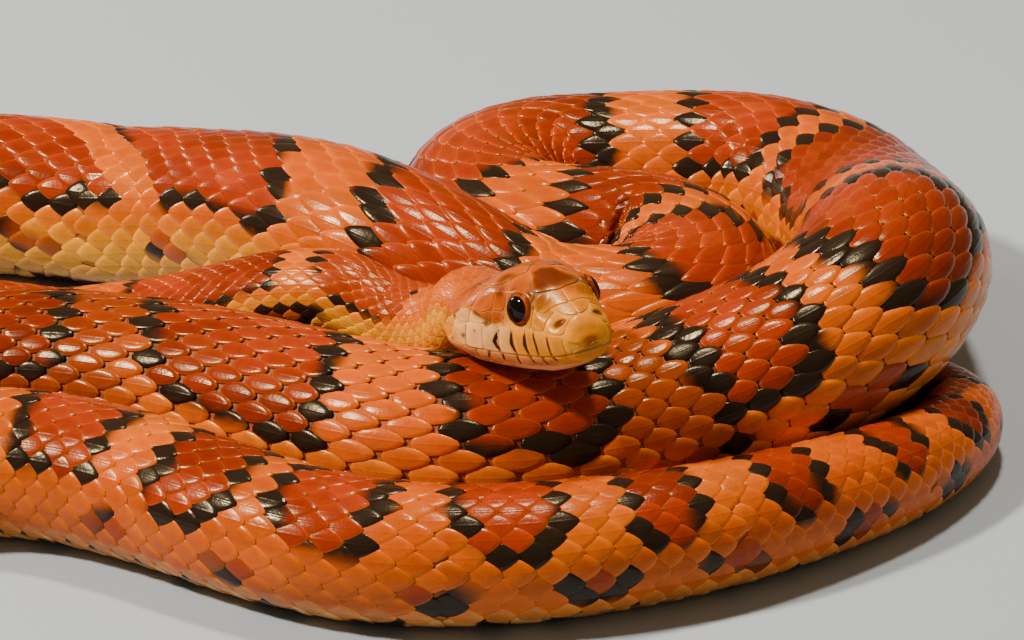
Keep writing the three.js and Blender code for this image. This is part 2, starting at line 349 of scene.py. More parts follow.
@dataclass
class Head:
    """The outline of the head: how far from the back of the skull, half width, top and bottom."""

    line: MiddleLine
    sections: tuple[tuple[float, ...], ...] = (
        (0, 5.3, 4.3, -4.1), (2, 6.9, 4.3, -3.6), (4.5, 7.7, 4.9, -3.6), (8, 7.6, 6.2, -4.2),
        (11.5, 6.8, 7.4, -4.3), (15.3, 5.8, 7.1, -4.2), (18, 5.15, 5.8, -3.9), (20.3, 4.5, 4.3, -3.3),
        (22.2, 3.75, 3.1, -2.5), (23.4, 2.75, 2, -1.8), (23.9, 1.6, 1, -1.2), (24.05, 0, -0.1, -0.1),
    )
    squareness: float = 0.86
    samples: int = 241
    rounding: int = 5
    mouth: Pairs = ((4.6, -0.45), (8.7, -0.95), (14, -1.2), (20, -1.15), (23, -0.95), (24, -0.7))
    eye: Point = (17, 4.4, 3.88)
    eye_forward: float = 17.0
    eye_lift: float = 13.0
    eye_radius: float = 1.66
    rim_height: float = 0.16
    rim_reach: Span = (0.1, 1.5)
    rim_depth: float = 3.0
    rim_pull: float = 0.9
    brow: Pairs = ((12.6, 5.35), (14.2, 5.35), (16, 5.15), (18, 4.15), (20.6, 2.75))
    brow_height: float = 0.22
    brow_width: float = 0.55
    brow_lean: Span = (0.75, 0.66)
    brow_start: Span = (11.4, 13.2)
    brow_end: Span = (19, 21.5)
    nostril: Span = (21.95, 2.5)
    nostril_radius: float = 0.42
    nostril_depth: float = 0.45

    def __post_init__(self) -> None:
        """Works out the smooth profile and the head's own axes."""
        table = np.array(self.sections[::-1])
        steps = np.hypot(np.diff(table[:, 0]), np.diff(table[:, 1]))
        reach = np.concatenate([[0.0], np.cumsum(steps)])
        wanted = np.linspace(0, reach[-1], self.samples)
        profile = np.column_stack([np.interp(wanted, reach, table[:, k]) for k in range(4)])
        width = 2 * self.rounding + 1
        window = np.hanning(width + 2)[1:-1]
        window /= window.sum()
        before = profile[self.rounding:0:-1].copy()
        before[:, 1:] = 2 * profile[0, 1:] - before[:, 1:]
        after = 2 * profile[-1] - profile[-2:-self.rounding - 2:-1]
        padded = np.vstack([before, profile, after])
        self.profile = np.column_stack([np.convolve(padded[:, k], window, mode="valid") for k in range(4)])
        self.place = HEAD_LENGTH * wanted / reach[-1]
        self.base = np.array(self.line.head_base)
        self.forward = unit(np.array(self.line.snout) - self.base)
        left = unit(np.cross(UPWARD, self.forward))
        turned = math.radians(self.line.roll)
        self.left = left * math.cos(turned) + np.cross(self.forward, left) * math.sin(turned)
        self.up = np.cross(self.forward, self.left)

    def section(self, s: Array) -> tuple[Array, ...]:
        """The distance from the skull's back, half width, top and bottom at body distances s."""
        along, *others = (np.interp(s, self.place, column) for column in self.profile.T)
        return np.where(s > HEAD_LENGTH, HEAD_LENGTH - s, along), *others

    def distance_of(self, along: Array) -> Array:
        """The body distance of a place that far from the back of the skull."""
        return np.interp(-np.asarray(along, float), -self.profile[:, 0], self.place)

    def lip_line(self, along: Array) -> Array:
        """The height of the closed mouth along the head."""
        return read_off(self.mouth, along)

    def eye_axis(self, sign: float) -> Array:
        """The direction that an eye looks in, in the head's axes."""
        ahead, lift = math.radians(self.eye_forward), math.radians(self.eye_lift)
        return np.array([math.sin(ahead), sign * math.cos(ahead), math.tan(lift)]) * math.cos(lift)

    def eye_centre(self, sign: float) -> Array:
        """The middle of an eye's rim, in the head's axes."""
        return np.array([self.eye[0], sign * self.eye[1], self.eye[2]])

    def eye_frame(self, sign: float) -> tuple[Array, ...]:
        """Finds the own axes of one eye.

        Args:
            sign: The side of the head.

        Returns:
            The middle of its rim, the way it looks, and the upright and level directions across it.
        """
        axis = self.eye_axis(sign)
        upright = unit(np.cross(axis, [1.0, 0.0, 0.0]))
        return self.eye_centre(sign), axis, upright, np.cross(upright, axis)

    def shaped(self, s: Array, angle: Array) -> Array:
        """The head's surface, with its brows, eye rims and nostrils.

        Args:
            s: Distances from the snout.
            angle: Angles round the head, in radians.

        Returns:
            Points in the head's own axes.
        """
        along, wide, top, bottom = self.section(s)
        sine, cosine = np.sin(angle), np.cos(angle)
        across = wide * np.sign(sine) * np.abs(sine) ** self.squareness
        tall = np.abs(cosine) ** self.squareness
        height = np.where(cosine > 0, top * tall, bottom * tall)
        point = np.stack([along, across, height], axis=-1)
        lean, lift = self.brow_lean
        out = np.stack([0 * along, np.sign(across) * lean, lift + 0 * along], axis=-1)
        near = np.exp(-((height - read_off(self.brow, along)) / self.brow_width) ** 2)
        near = near * smooth(along, *self.brow_start) * (1 - smooth(along, *self.brow_end))
        point = point + out * (self.brow_height * near)[..., None]
        for sign in (-1.0, 1.0):
            point = self.around_eye(point, sign)
            hole = np.hypot(along - self.nostril[0], height - self.nostril[1]) / self.nostril_radius
            hole = np.exp(-hole ** 2) * (np.sign(across) == sign)
            point[..., 1] -= sign * self.nostril_depth * hole
        return point

    def around_eye(self, point: Array, sign: float) -> Array:
        """Draws the surface near an eye to the plane of its rim.

        Args:
            point: Points in the head's axes.
            sign: The side of the head.

        Returns:
            The moved points.
        """
        axis = self.eye_axis(sign)
        depth, radius = off_axis(point, self.eye_centre(sign), axis)
        near, far = self.rim_reach
        share = 1 - smooth(radius, self.eye_radius + near, self.eye_radius + far)
        share = share * (np.abs(depth) < self.rim_depth)
        return point + ((self.rim_height - depth) * share * self.rim_pull)[..., None] * axis

    def to_world(self, point: Array) -> Array:
        """Points in the head's axes, in the frame of the way points."""
        forward, left, up = point[..., :1], point[..., 1:2], point[..., 2:]
        return self.base + forward * self.forward + left * self.left + up * self.up

    def eye_in_world(self, sign: float) -> tuple[Array, Array]:
        """The middle of an eye's rim and the way it looks, in the frame of the way points."""
        return self.to_world(self.eye_centre(sign)), self.to_world(self.eye_axis(sign)) - self.base

    def surface(self, s: Array, angle: Array) -> Array:
        """Points of the head's surface in the frame of the way points."""
        return self.to_world(self.shaped(s, angle))


@dataclass
class Body:
    """The outer surface of the whole snake, by the distance from the snout and the angle round it.

    The angle is 0 at the middle of the back, positive on the snake's left side and pi under the belly.
    """

    line: MiddleLine = field(default_factory=MiddleLine)
    head: Head = field(init=False)
    back: float = 0.94
    inner_bend: float = 0.92
    neck_blend: Span = (20, 29)
    probe: Span = (0.3, 0.04)
    tip_start: float = 0.02
    coat_share: float = 0.036
    coat_range: Span = (0.16, 0.42)
    coat_limit: float = 0.2

    def __post_init__(self) -> None:
        """Shapes the head and traces the middle line once."""
        self.head = Head(self.line)
        self.path = self.line.trace()
        self.length = float(self.path["at"][-1])

    def read(self, key: str, s: Array) -> Array:
        """Reads a quantity of the middle line.

        Args:
            key: Which quantity.
            s: Distances from the snout.

        Returns:
            A number or a vector for each distance.
        """
        values = self.path[key]
        if values.ndim == 1:
            return np.interp(s, self.path["at"], values)
        return np.stack([np.interp(s, self.path["at"], column) for column in values.T], axis=-1)

    def trunk(self, s: Array, angle: Array) -> Array:
        """The loaf section, with the inner flank of a tight bend drawn short of the bend's centre.

        Args:
            s: Distances from the snout.
            angle: Angles round the body, in radians.

        Returns:
            Points in the frame of the way points.
        """
        half = self.line.girth(s)
        bend = self.read("bend", s)
        wide = half * np.sin(angle)
        inner = np.sign(wide) == np.sign(bend)
        pinch = np.minimum(1.0, self.inner_bend / np.maximum(np.abs(bend), 1e-6) / half)
        wide = wide * np.where(inner, pinch, 1.0)
        high = half * np.maximum(self.back * np.cos(angle), -self.line.belly)
        across, lift = self.read("side", s) * wide[..., None], self.read("up", s) * high[..., None]
        return self.read("centre", s) + across + lift

    def surface(self, s: Array, angle: Array) -> Array:
        """The outer surface of the head and the trunk.

        Args:
            s: Distances from the snout.
            angle: Angles round the body, in radians.

        Returns:
            Points in the frame of the way points.
        """
        s, angle = np.broadcast_arrays(np.asarray(s, float), np.asarray(angle, float))
        s = np.clip(s, 0.0, self.length)
        points = np.empty(s.shape + (3,))
        start, end = self.neck_blend
        ahead, behind = s < end, s > start
        points[behind] = self.trunk(s[behind], angle[behind])
        front = self.head.surface(s[ahead], angle[ahead])
        share = smooth(s[ahead], start, end)[..., None]
        both = np.where(share > 0, points[ahead], 0.0)
        points[ahead] = front * (1 - share) + both * share
        return points

    def normal(self, s: Array, angle: Array) -> Array:
        """The direction straight out of the surface.

        Args:
            s: Distances from the snout.
            angle: Angles round the body, in radians.

        Returns:
            Vectors at length one.
        """
        s, angle = np.broadcast_arrays(np.asarray(s, float), np.asarray(angle, float))
        step, turn = self.probe
        low, high = np.clip(s - step, self.tip_start, None), np.clip(s + step, step, self.length)
        along = self.surface(high, angle) - self.surface(low, angle)
        around = self.surface(s, angle + turn) - self.surface(s, angle - turn)
        return unit(np.cross(around, along))

    def coat(self, s: Array) -> Array:
        """How deep the scales lie over the skin."""
        girth = self.line.girth(s)
        return np.minimum(np.clip(self.coat_share * girth, *self.coat_range), self.coat_limit * girth)

    def lifted(self, s: Array, angle: Array, height: Array) -> Array:
        """Points off the skin, never under the floor.

        Args:
            s: Distances from the snout.
            angle: Angles round the body, in radians.
            height: How high over the skin, where 1 is the outer surface.

        Returns:
            Points in the frame of the way points.
        """
        rise = (height - 1.0) * self.coat(np.clip(s, 0, self.length))
        points = self.surface(s, angle) + self.normal(s, angle) * rise[..., None]
        points[..., 2] = np.maximum(points[..., 2], 0.0)
        return points


def linear(red: int, green: int, blue: int) -> Array:
    """A colour named in screen values, as scene-linear numbers."""
    screen = np.array([red, green, blue]) / 255.0
    return np.where(screen < 0.04045, screen / 12.92, ((screen + 0.055) / 1.055) ** 2.4)


def blend(first: Array, second: Array, share: Array) -> Array:
    """Colours between two, by a share for each point."""
    return first * (1 - share[..., None]) + second * share[..., None]


@dataclass(frozen=True)
class Palette:
    """The colours of the markings, in screen values."""

    ground: Screen = (204, 92, 4)
    bright: Screen = (220, 110, 4)
    saddle: Screen = (163, 54, 14)
    dark_saddle: Screen = (108, 30, 12)
    mauve: Screen = (166, 64, 14)
    black: Screen = (36, 27, 25)
    flank: Screen = (226, 120, 10)
    yellow: Screen = (250, 188, 18)
    belly: Screen = (225, 170, 100)
    crown: Screen = (190, 92, 10)
    umber: Screen = (104, 42, 14)
    face: Screen = (232, 152, 2)
    lip: Screen = (255, 200, 140)
    band: Screen = (188, 84, 4)
    snout: Screen = (240, 160, 8)
    chin: Screen = (236, 156, 92)

    def __getitem__(self, name: str) -> Array:
        """A colour by name, scene-linear."""
        return linear(*getattr(self, name))


@dataclass
class HeadMarks:
    """The marks of the head, by how far a place is from the skull's back, from the middle and up."""

    head: Head
    palette: Palette
    clouds: tuple[Wave, Wave] = (Wave(1.3, 1.0, 1.0), Wave(0.6, 0.5, 2.0))
    crown_snout: Span = (17.5, 21.5)
    crown_line: Pairs = ((4, 3.6), (9, 5.2), (13, 4.9), (18, 4.4), (21, 3.3), (23.5, 1.6))
    face_top: Span = (2.6, 4)
    band_middle: Pairs = (
        (0, 2.2), (4, 3), (6.4, 3.8), (8.1, 4.4), (9.7, 4.35), (11.2, 4.1), (12.7, 3.7), (14, 3.7),
    )
    band_half: Pairs = ((2, 0.9), (7, 0.9), (12, 1.25), (14, 1.4))
    band_end: Span = (16.2, 14.6)
    cheek_back: Span = (8.5, 5.5)
    cheek_top: Span = (1.6, 2.6)
    cheek_end: Span = (17, 13)
    pale_top: float = 1.5
    pale_ends: tuple[Span, Span] = ((17.5, 12.5), (5.5, 8.5))
    chin_front: Span = (20, 23.4)
    throat: float = -2.4
    rim_half: float = 0.2
    rim_drop: float = 0.1
    rim_ends: tuple[Span, Span] = ((14.6, 13.6), (3, 5))
    rim_breaks: Wave = Wave(0.75, 1.0, 4.0)
    spots: tuple[Point, ...] = (
        (12.2, 2.05, 0.34), (8.3, 0.4, 0.26), (5.5, -0.4, 0.3), (6.1, 2.2, 0.32), (3.4, 1, 0.36),
        (10.3, 1.1, 0.12),
    )
    spot_stretch: float = 1.5
    # How far the nostril's painted shade reaches, as shares of its radius.
    nostril_shade_reach: Span = (1.25, 0.6)
    notch_place: Point = (0.9, 0.35, 0.5)
    notch_front: Span = (22.8, 23.4)
    mouth_half: float = 0.07
    mouth_back: Span = (5, 7)
    bar_heights: Point = (-1, 0.1, 1.4)
    bar_lens: Span = (0.2, 1.35)
    # Bars of the upper lip: where each is high up, half way and at the mouth, and half its width.
    upper_bars: tuple[tuple[float, ...], ...] = (
        (14.1, 13.3, 13.9, 0.36), (16.2, 15.95, 16.5, 0.29), (18.2, 18.1, 18.5, 0.27),
        (19.5, 19.85, 19.95, 0.2), (21.3, 21.57, 21.7, 0.15),
    )
    # Bars of the lower lip: where each is at the mouth and at its foot, and how far down it reaches.
    lower_bars: tuple[Point, ...] = (
        (12.15, 11.2, 1.1), (14.15, 13.7, 1), (16.4, 15.95, 1.5), (18.4, 18.65, 1.1), (20.25, 20.25, 1.2),
        (21.68, 21.8, 0.7),
    )
    lower_half: float = 0.17

    def cloudy(self, along: Array, across: Array) -> Array:
        """The clouds of the crown and the band, from about -1.5 to 1.5."""
        large, small = self.clouds
        return large.read(along, across) + 0.5 * small.read(along, across)

    def skin_colour(self, along: Array, across: Array, height: Array) -> Array:
        """The colours of the crown, the face, the band behind the eye, the lips and the chin.

        Args:
            along: Distances from the back of the skull.
            across: Distances from the middle.
            height: Heights in the head's axes.

        Returns:
            A colour for each place.
        """
        pal = self.palette
        clouds = self.cloudy(along, across)
        colour = blend(pal["crown"], pal["umber"], 0.9 * smooth(clouds, -0.45, 0.45))
        colour = blend(colour, pal["snout"], smooth(along, *self.crown_snout) * 0.7)
        face = blend(pal["face"], pal["snout"], smooth(height, *self.face_top) * 0.6)
        colour = blend(colour, face, smooth(read_off(self.crown_line, along) - height, -0.3, 0.5))
        centre, spread = read_off(self.band_middle, along), read_off(self.band_half, along)
        band = smooth(spread - np.abs(height - centre), -0.25, 0.3) * smooth(along, *self.band_end)
        fade = np.maximum(smooth(along, *self.cheek_back) * 0.95, smooth(height, *self.cheek_top) * 0.3)
        lip = smooth(centre - spread - height, -0.2, 0.3) * smooth(along, *self.cheek_end)
        pale = smooth(self.pale_top - height, -0.4, 0.6)
        for end in self.pale_ends:
            pale = pale * smooth(along, *end)
        colour = blend(colour, blend(pal["lip"], pal["face"], fade), lip * (1 - band))
        colour = blend(colour, pal["lip"], pale * 0.75 * (1 - band))
        banded = blend(pal["band"], pal["umber"], 0.45 * smooth(clouds, -0.2, 0.7))
        colour = blend(colour, banded, band * 0.95)
        chin = blend(pal["chin"], pal["snout"], smooth(along, *self.chin_front) * 0.8)
        colour = blend(colour, chin, smooth(self.head.lip_line(along) - height, -0.1, 0.2))
        return blend(colour, pal["lip"], smooth(self.throat - height, -0.3, 0.5) * 0.6)

    def edging(self, along: Array, height: Array) -> Array:
        """The dark lower edge of the band and the spots of the cheek.

        Args:
            along: Distances from the back of the skull.
            height: Heights in the head's axes.

        Returns:
            How strong each is, from 0 to 1.
        """
        centre, spread = read_off(self.band_middle, along), read_off(self.band_half, along)
        below = np.abs(height - centre + spread + self.rim_drop)
        rim = smooth(self.rim_half - below, -0.16, 0.14)
        for end in self.rim_ends:
            rim = rim * smooth(along, *end)
        rim = rim * smooth(self.rim_breaks.read(along, height), -0.5, 0.3)
        for spot_along, spot_height, size in self.spots:
            away = np.hypot((along - spot_along) / self.spot_stretch, height - spot_height)
            rim = np.maximum(rim, smooth(size - away, -0.12, 0.1))
        return rim

    def colour(self, s: Array, angle: Array) -> tuple[Array, Array]:
        """The colour of the head.

        Args:
            s: Distances from the snout.
            angle: Angles round the head, in degrees.

        Returns:
            The colours, and how black each place is.
        """
        pal, head = self.palette, self.head
        point = head.shaped(s, np.radians(angle))
        along, across, height = point[..., 0], np.abs(point[..., 1]), point[..., 2]
        colour = self.skin_colour(along, across, height)
        colour = blend(colour, pal["umber"] * 0.5, self.edging(along, height) * 0.85)
        wide, level, tall = self.notch_place
        notch = smooth(1.0 - np.hypot(across / wide, (height - level) / tall), -0.3, 0.4)
        colour = blend(colour, pal["saddle"], notch * smooth(along, *self.notch_front) * 0.7)
        hole = np.hypot(along - head.nostril[0], height - head.nostril[1])
        # Painted shade: the nostril's opening is darkened to umber.
        nostril_shade = smooth(hole, *(head.nostril_radius * share for share in self.nostril_shade_reach))
        colour = blend(colour, pal["umber"] * 0.6, nostril_shade * 0.95)
        closed = smooth(self.mouth_half - np.abs(height - head.lip_line(along)), -0.06, 0.04)
        closed = closed * smooth(along, *self.mouth_back) * 0.75
        return colour, np.clip(np.maximum(self.lip_bars(along, height), closed), 0, 1)

    def lip_bars(self, along: Array, height: Array) -> Array:
        """The dark bars on the seams of the lip shields.

        Args:
            along: Distances from the back of the skull.
            height: Heights in the head's axes.

        Returns:
            How black each place is, from 0 to 1.
        """
        black = np.zeros_like(along)
        mouth = self.head.lip_line(along)
        level, tall = self.bar_lens
        lens = np.sqrt(np.clip(1 - ((height - level) / tall) ** 2, 0.0, 1.0))
        for high, middle, low, wide in self.upper_bars:
            seam = np.interp(height, self.bar_heights, [low, middle, high])
            bar = smooth(wide * lens - np.abs(along - seam), -0.07, 0.07)
            black = np.maximum(black, bar * smooth(height - mouth, 0.05, 0.2))
        for top, foot, reach in self.lower_bars:
            share = np.clip((mouth - height) / reach, 0.0, 1.0)
            bar = smooth(self.lower_half - np.abs(along - (top + (foot - top) * share)), -0.07, 0.07)
            black = np.maximum(black, bar * smooth(mouth - height, 0.0, 0.12) * smooth(share, 1.0, 0.8))
        return black


@dataclass
class Markings:
    """The colours of the whole snake: its head's, and its saddles, side blotches and belly checks."""

    body: Body
    palette: Palette = field(default_factory=Palette)
    saddles: Pairs = (
        (39, 53), (58, 80), (90, 111), (121, 140), (150, 169), (180, 201), (212, 231), (241, 259),
        (271.5, 295), (309, 324.5), (337, 350), (360, 377), (386, 409), (417.5, 433), (446, 478), (487, 500),
        (507, 522), (541, 558), (573, 601), (611, 632), (643, 664), (675, 696), (707, 727), (738, 757),
        (768, 786), (797, 814), (824, 840), (849, 860), (869, 878), (884, 893), (901.3, 910),
        (918.8, 925.5), (934.6, 940.5), (951, 956), (963.5, 969), (977, 983), (990, 996), (1003, 1009),
        (1017, 1023), (1031, 1037),
    )
    slant: Pairs = (
        (235, 0), (250, 0.065), (302, 0.065), (318, 0), (520, 0), (540, 0.05), (557, 0.07), (575, 0.18),
        (600, 0.25), (640, 0.25), (700, 0),
    )
    reach: float = 66.0
    bulge: Span = (0.9, 0.3)
    corner: Span = (0.9, 0.7)
    waver: Span = (0.5, 0.1)
    waver_wave: Wave = Wave(5.0, 17.0, 0.7)
    border: float = 0.118
    border_wave: Wave = Wave(3.1, 13.0, 3.3)
    border_thin: Span = (18, 0.35)
    border_start: Pairs = ((54, 0.45), (57, 1))
    blotch_angle: float = 97.0
    blotch_size: Span = (0.36, 1.2)
    blotch_range: Span = (2, 5.5)
    blotch_taper: Pairs = ((600, 1), (640, 0.6))
    blotch_height: float = 0.19
    blotch_shift: float = 2.0
    blotch_wave: Wave = Wave(2.5, 11.0, 2.3)
    belly_edge: float = 126.0
    check_size: Span = (0.75, 18)
    check_start: float = 70.0
    ground_wave: Wave = Wave(13.0, 40.0, 5.0)
    saddle_wave: Wave = Wave(9.0, 30.0, 8.0)
    neck_yellow: Span = (170, 70)
    late_flank: Span = (620, 680)
    flank_from: Span = (62, 98)
    yellow_from: Span = (74, 102)
    belly_from: Span = (112, 138)
    yellowed: Pairs = ((150, 0.8), (240, 0.15), (420, 0.15), (520, 0.85), (610, 0.85), (670, 0))
    mauve_end: Span = (57, 54)
    black_end: Span = (40, 26)
    # Painted shade: between these distances the trunk is darkened towards the dark saddle colour, standing
    # for shade that lay over that stretch of the coil.
    painted_shade: Pairs = ((200, 0), (228, 0.72), (267, 0.72), (275, 0.12), (290, 0))
    head_end: float = 27.0
    head_blend: Span = (26.5, 17.5)

    def __post_init__(self) -> None:
        """Sets up the marks of the head."""
        self.head_marks = HeadMarks(self.body.head, self.palette)

    def straightened(self, s: Array, angle: Array) -> Array:
        """Distances along the body, less how far the markings lean along it on the way down the flanks."""
        return s - read_off(self.slant, s) * angle

    def edge_distance(self, s: Array, angle: Array) -> Array:
        """How far inside the nearest saddle places are.

        Args:
            s: Distances from the snout.
            angle: Angles round the body, in degrees.

        Returns:
            Millimetres, below 0 outside.
        """
        s = self.straightened(s, angle)
        table = np.array(self.saddles)
        middles, halves = table.mean(axis=1), np.diff(table, axis=1)[:, 0] / 2
        nearest = np.abs(s[..., None] - middles).argmin(axis=-1)
        half = halves[nearest]
        wave = self.waver_wave.read(s, angle)
        grow, start = self.bulge
        stretch = 1.0 - grow / half * ((np.abs(angle) / self.reach) ** 2 - start)
        lengthwise = half * stretch - np.abs(s - middles[nearest]) + self.waver[0] * wave
        reach = self.reach * (1 + self.waver[1] * wave)
        crosswise = (reach - np.abs(angle)) * self.body.line.girth(s) * math.pi / 180
        corner, depth = self.corner
        cut = corner * np.exp(-np.abs(lengthwise - crosswise) / corner) * depth
        return np.minimum(lengthwise, crosswise) - cut

    def blotch_distance(self, s: Array, angle: Array) -> Array:
        """How far inside the nearest side blotch places are.

        Args:
            s: Distances from the snout.
            angle: Angles round the body, in degrees.

        Returns:
            Millimetres, below 0 outside.
        """
        s = self.straightened(s, angle)
        table = np.array(self.saddles)
        middles = (table[1:, 0] + table[:-1, 1]) / 2
        spans = table[1:, 0] - table[:-1, 1]
        nearest = np.abs(s[..., None] - middles).argmin(axis=-1)
        share, more = self.blotch_size
        half = np.clip(spans[nearest] * share + more, *self.blotch_range) * read_off(self.blotch_taper, s)
        tall = self.blotch_height * self.body.line.girth(s)
        shift = ripple(nearest * 2.1, np.sign(angle) * 3.0, 1.9) * self.blotch_shift
        lengthwise = (s - middles[nearest] - shift) / half
        crosswise = np.radians(np.abs(angle) - self.blotch_angle) / self.blotch_height
        wave = 0.2 * self.blotch_wave.read(s, angle)
        return (1 - np.hypot(lengthwise, crosswise) + wave) * np.minimum(half, tall)

    def saddle_colour(self, s: Array, angle: Array, inside: Array,
                      tint: Array) -> Array:
        """The colour within saddles and blotches.

        Args:
            s: Distances from the snout.
            angle: Angles round the body, in degrees.
            inside: How far inside a saddle each place is.
            tint: A number from 0 to 1 for each scale.

        Returns:
            A colour for each place.
        """
        pal = self.palette
        dark = smooth(self.saddle_wave.read(s, angle), -0.3, 1.0) * 0.7
        saddle = blend(pal["saddle"], pal["dark_saddle"], dark)
        saddle = blend(saddle, pal["ground"], 0.22 * smooth(inside, 2.0, 7.0) * smooth(tint, 0.3, 1.0))
        return blend(saddle, pal["mauve"], smooth(s, *self.mauve_end))

    def ground_colour(self, s: Array, angle: Array) -> Array:
        """The colour between the saddles, from the back down to the belly.

        Args:
            s: Distances from the snout.
            angle: Angles round the body, in degrees.

        Returns:
            A colour for each place.
        """
        pal = self.palette
        steep = np.abs(angle)
        colour = blend(pal["ground"], pal["bright"], smooth(self.ground_wave.read(s, angle), -0.6, 0.9))
        early = smooth(s, *self.neck_yellow) * 0.9 + 0.12 * smooth(s, *self.late_flank[::-1])
        flank = blend(pal["flank"], pal["yellow"], early)
        flank = blend(flank, pal["ground"], 0.75 * smooth(s, *self.late_flank))
        colour = blend(colour, flank, smooth(steep, *self.flank_from))
        yellow = read_off(self.yellowed, s) * smooth(steep, *self.yellow_from)
        colour = blend(colour, pal["yellow"], yellow)
        return blend(colour, pal["belly"], smooth(steep, *self.belly_from))

    def body_colour(self, s: Array, angle: Array,
                    tint: Array) -> tuple[Array, Array]:
        """The colour of the neck, trunk and tail.

        Args:
            s: Distances from the snout.
            angle: Angles round the body, in degrees.
            tint: A number from 0 to 1 for each scale.

        Returns:
            The colours, and how black each place is.
        """
        inside = self.edge_distance(s, angle)
        saddle = self.saddle_colour(s, angle, inside, tint)
        colour = blend(self.ground_colour(s, angle), saddle, smooth(inside, -0.2, 0.2))
        patchy = 0.62 + 0.38 * self.border_wave.read(s, angle)
        strip, loss = self.border_thin
        lower = 1 - loss * smooth(np.abs(angle), self.reach - strip, self.reach)
        broad = self.border * self.body.line.girth(s)
        wide = broad * (0.75 + 0.5 * patchy) * lower * read_off(self.border_start, s)
        black = smooth(wide - np.abs(inside + 0.2), -0.16, 0.16)
        blotch = self.blotch_distance(s, angle)
        colour = blend(colour, saddle, smooth(blotch, -0.2, 0.2) * 0.85)
        edge = smooth(0.5 - np.abs(blotch + 0.1), -0.15, 0.15) * smooth(tint, 0.2, 0.35)
        black = np.maximum(np.maximum(black, edge), self.checks(s, angle))
        black = black * (1 - 0.8 * smooth(s, *self.black_end))
        # Painted shade darkens one stretch of the trunk here.
        return blend(colour, self.palette["dark_saddle"], read_off(self.painted_shade, s)), black

    def checks(self, s: Array, angle: Array) -> Array:
        """The black checks of the belly.

        Args:
            s: Distances from the snout.
            angle: Angles round the body, in degrees.

        Returns:
            How black each place is, from 0 to 1.
        """
        long, wide = self.check_size
        block = np.floor(s / (long * self.body.line.girth(s)))
        lane = np.floor((np.where(angle < 0, angle + 360.0, angle) - self.belly_edge) / wide)
        chance = ripple(block * 3.7, lane * 5.1, 6.1)
        below = smooth(np.abs(angle), self.belly_edge - 2, self.belly_edge + 6)
        return (chance > 0.12) * below * (s > self.check_start)

    def colour(self, s: Array, angle: Array, tint: Array) -> Array:
        """The colour of any place on skin or scales.

        Args:
            s: Distances from the snout.
            angle: Angles round the body, in radians.
            tint: A number from 0 to 1 for each scale.

        Returns:
            Four numbers for each place: its colour, and how black it is.
        """
        s, angle, tint = np.broadcast_arrays(np.asarray(s, float), np.degrees(angle), tint)
        angle = (angle + 180.0) % 360.0 - 180.0
        colour, black = self.body_colour(s, angle, tint)
        ahead = s < self.head_end
        head, head_black = self.head_marks.colour(s[ahead], angle[ahead])
        share = smooth(s[ahead], *self.head_blend)
        colour[ahead] = blend(colour[ahead], head, share)
        black[ahead] = black[ahead] * (1 - share) + head_black * share
        colour = blend(colour, self.palette["black"], black)
        return np.concatenate([colour, black[..., None]], axis=-1)


class Chart(Enum):
    """How the outline of a head shield is read: its second number is a width, a height or an angle."""

    TOP = "width from the middle of the crown"
    SIDE = "height over the mouth's level"
    UNDER = "width from the middle of the chin"
    POLE = "body distance and angle at the tip of the snout"


@dataclass(frozen=True)
class PlateShape:
    """A closed domed plate: an outline and the rings drawn in from it, with their heights."""

    outline: Pairs
    rings: Pairs
    crown: float
    root_height: float = 0.35
    base: float = -0.9
    thickness: float = 0.55
    tip_shade: float = 0.0

    def template(self) -> tuple[Array, Array]:
        """Sets out the plate's points.

        Returns:
            The points as (along, across, height), and how far in from the outline each is.
        """
        rim = np.array(self.outline)
        slope = self.slope(rim[:, 0])
        levels = [np.column_stack([rim, slope * self.rings[0][1] - self.thickness])]
        inner = [np.zeros(len(rim))]
        for share, height in self.rings:
            points = rim * share
            levels.append(np.column_stack([points, self.slope(points[:, 0]) * height]))
            inner.append(np.full(len(rim), 1 - share))
        middle = self.root_height + (1 - self.root_height) / 2
        levels.append(np.array([[0.0, 0.0, middle * self.crown], [0.0, 0.0, self.base]]))
        inner.append(np.array([1.0, 0.0]))
        return np.vstack(levels), np.concatenate(inner)

    def slope(self, along: Array) -> Array:
        """How high the plate stands along it, from its root to its free tip."""
        return self.root_height + (1 - self.root_height) * np.clip((along + 1) / 2, 0, 1)

    def faces(self) -> tuple[Array, Array]:
        """Joins the plate's points.

        Returns:
            The triangles, and which of them are on its smooth upper face.
        """
        count = len(self.outline)
        rows = len(self.rings) + 1
        near = np.arange(count)
        after = (near + 1) % count
        top, foot = rows * count, rows * count + 1
        found = [np.column_stack([np.full(count, foot), near, after])]
        upper = [np.zeros(count, bool)]
        for row in range(rows - 1):
            a, b = row * count + near, row * count + after
            c, d = b + count, a + count
            found += [np.column_stack([a, c, b]), np.column_stack([a, d, c])]
            upper += [np.full(count, row > 0)] * 2
        last = (rows - 1) * count
        found.append(np.column_stack([last + after, last + near, np.full(count, top)]))
        upper.append(np.ones(count, bool))
        return np.vstack(found), np.concatenate(upper)


def scale_outline(points: int, pointed: float, blunt: float) -> Pairs:
    """The outline of a body scale: rounded at the root, drawn to a soft point at the free tip.

    Args:
        points: How many points it has.
        pointed: The power that draws in the sides, 2 for an oval and 1 for a diamond.
        blunt: How much fuller the root is than the free tip.

    Returns:
        Points (along, across), turning from the tip to the left of the way along.
    """
    found = []
    for k in range(points):
        angle = 2 * math.pi * k / points
        along, across = math.cos(angle), math.sin(angle)
        size = (abs(along) ** pointed + abs(across) ** pointed) ** (-1 / pointed)
        found.append((along * size - blunt * across ** 2, across * size))
    return tuple(found)


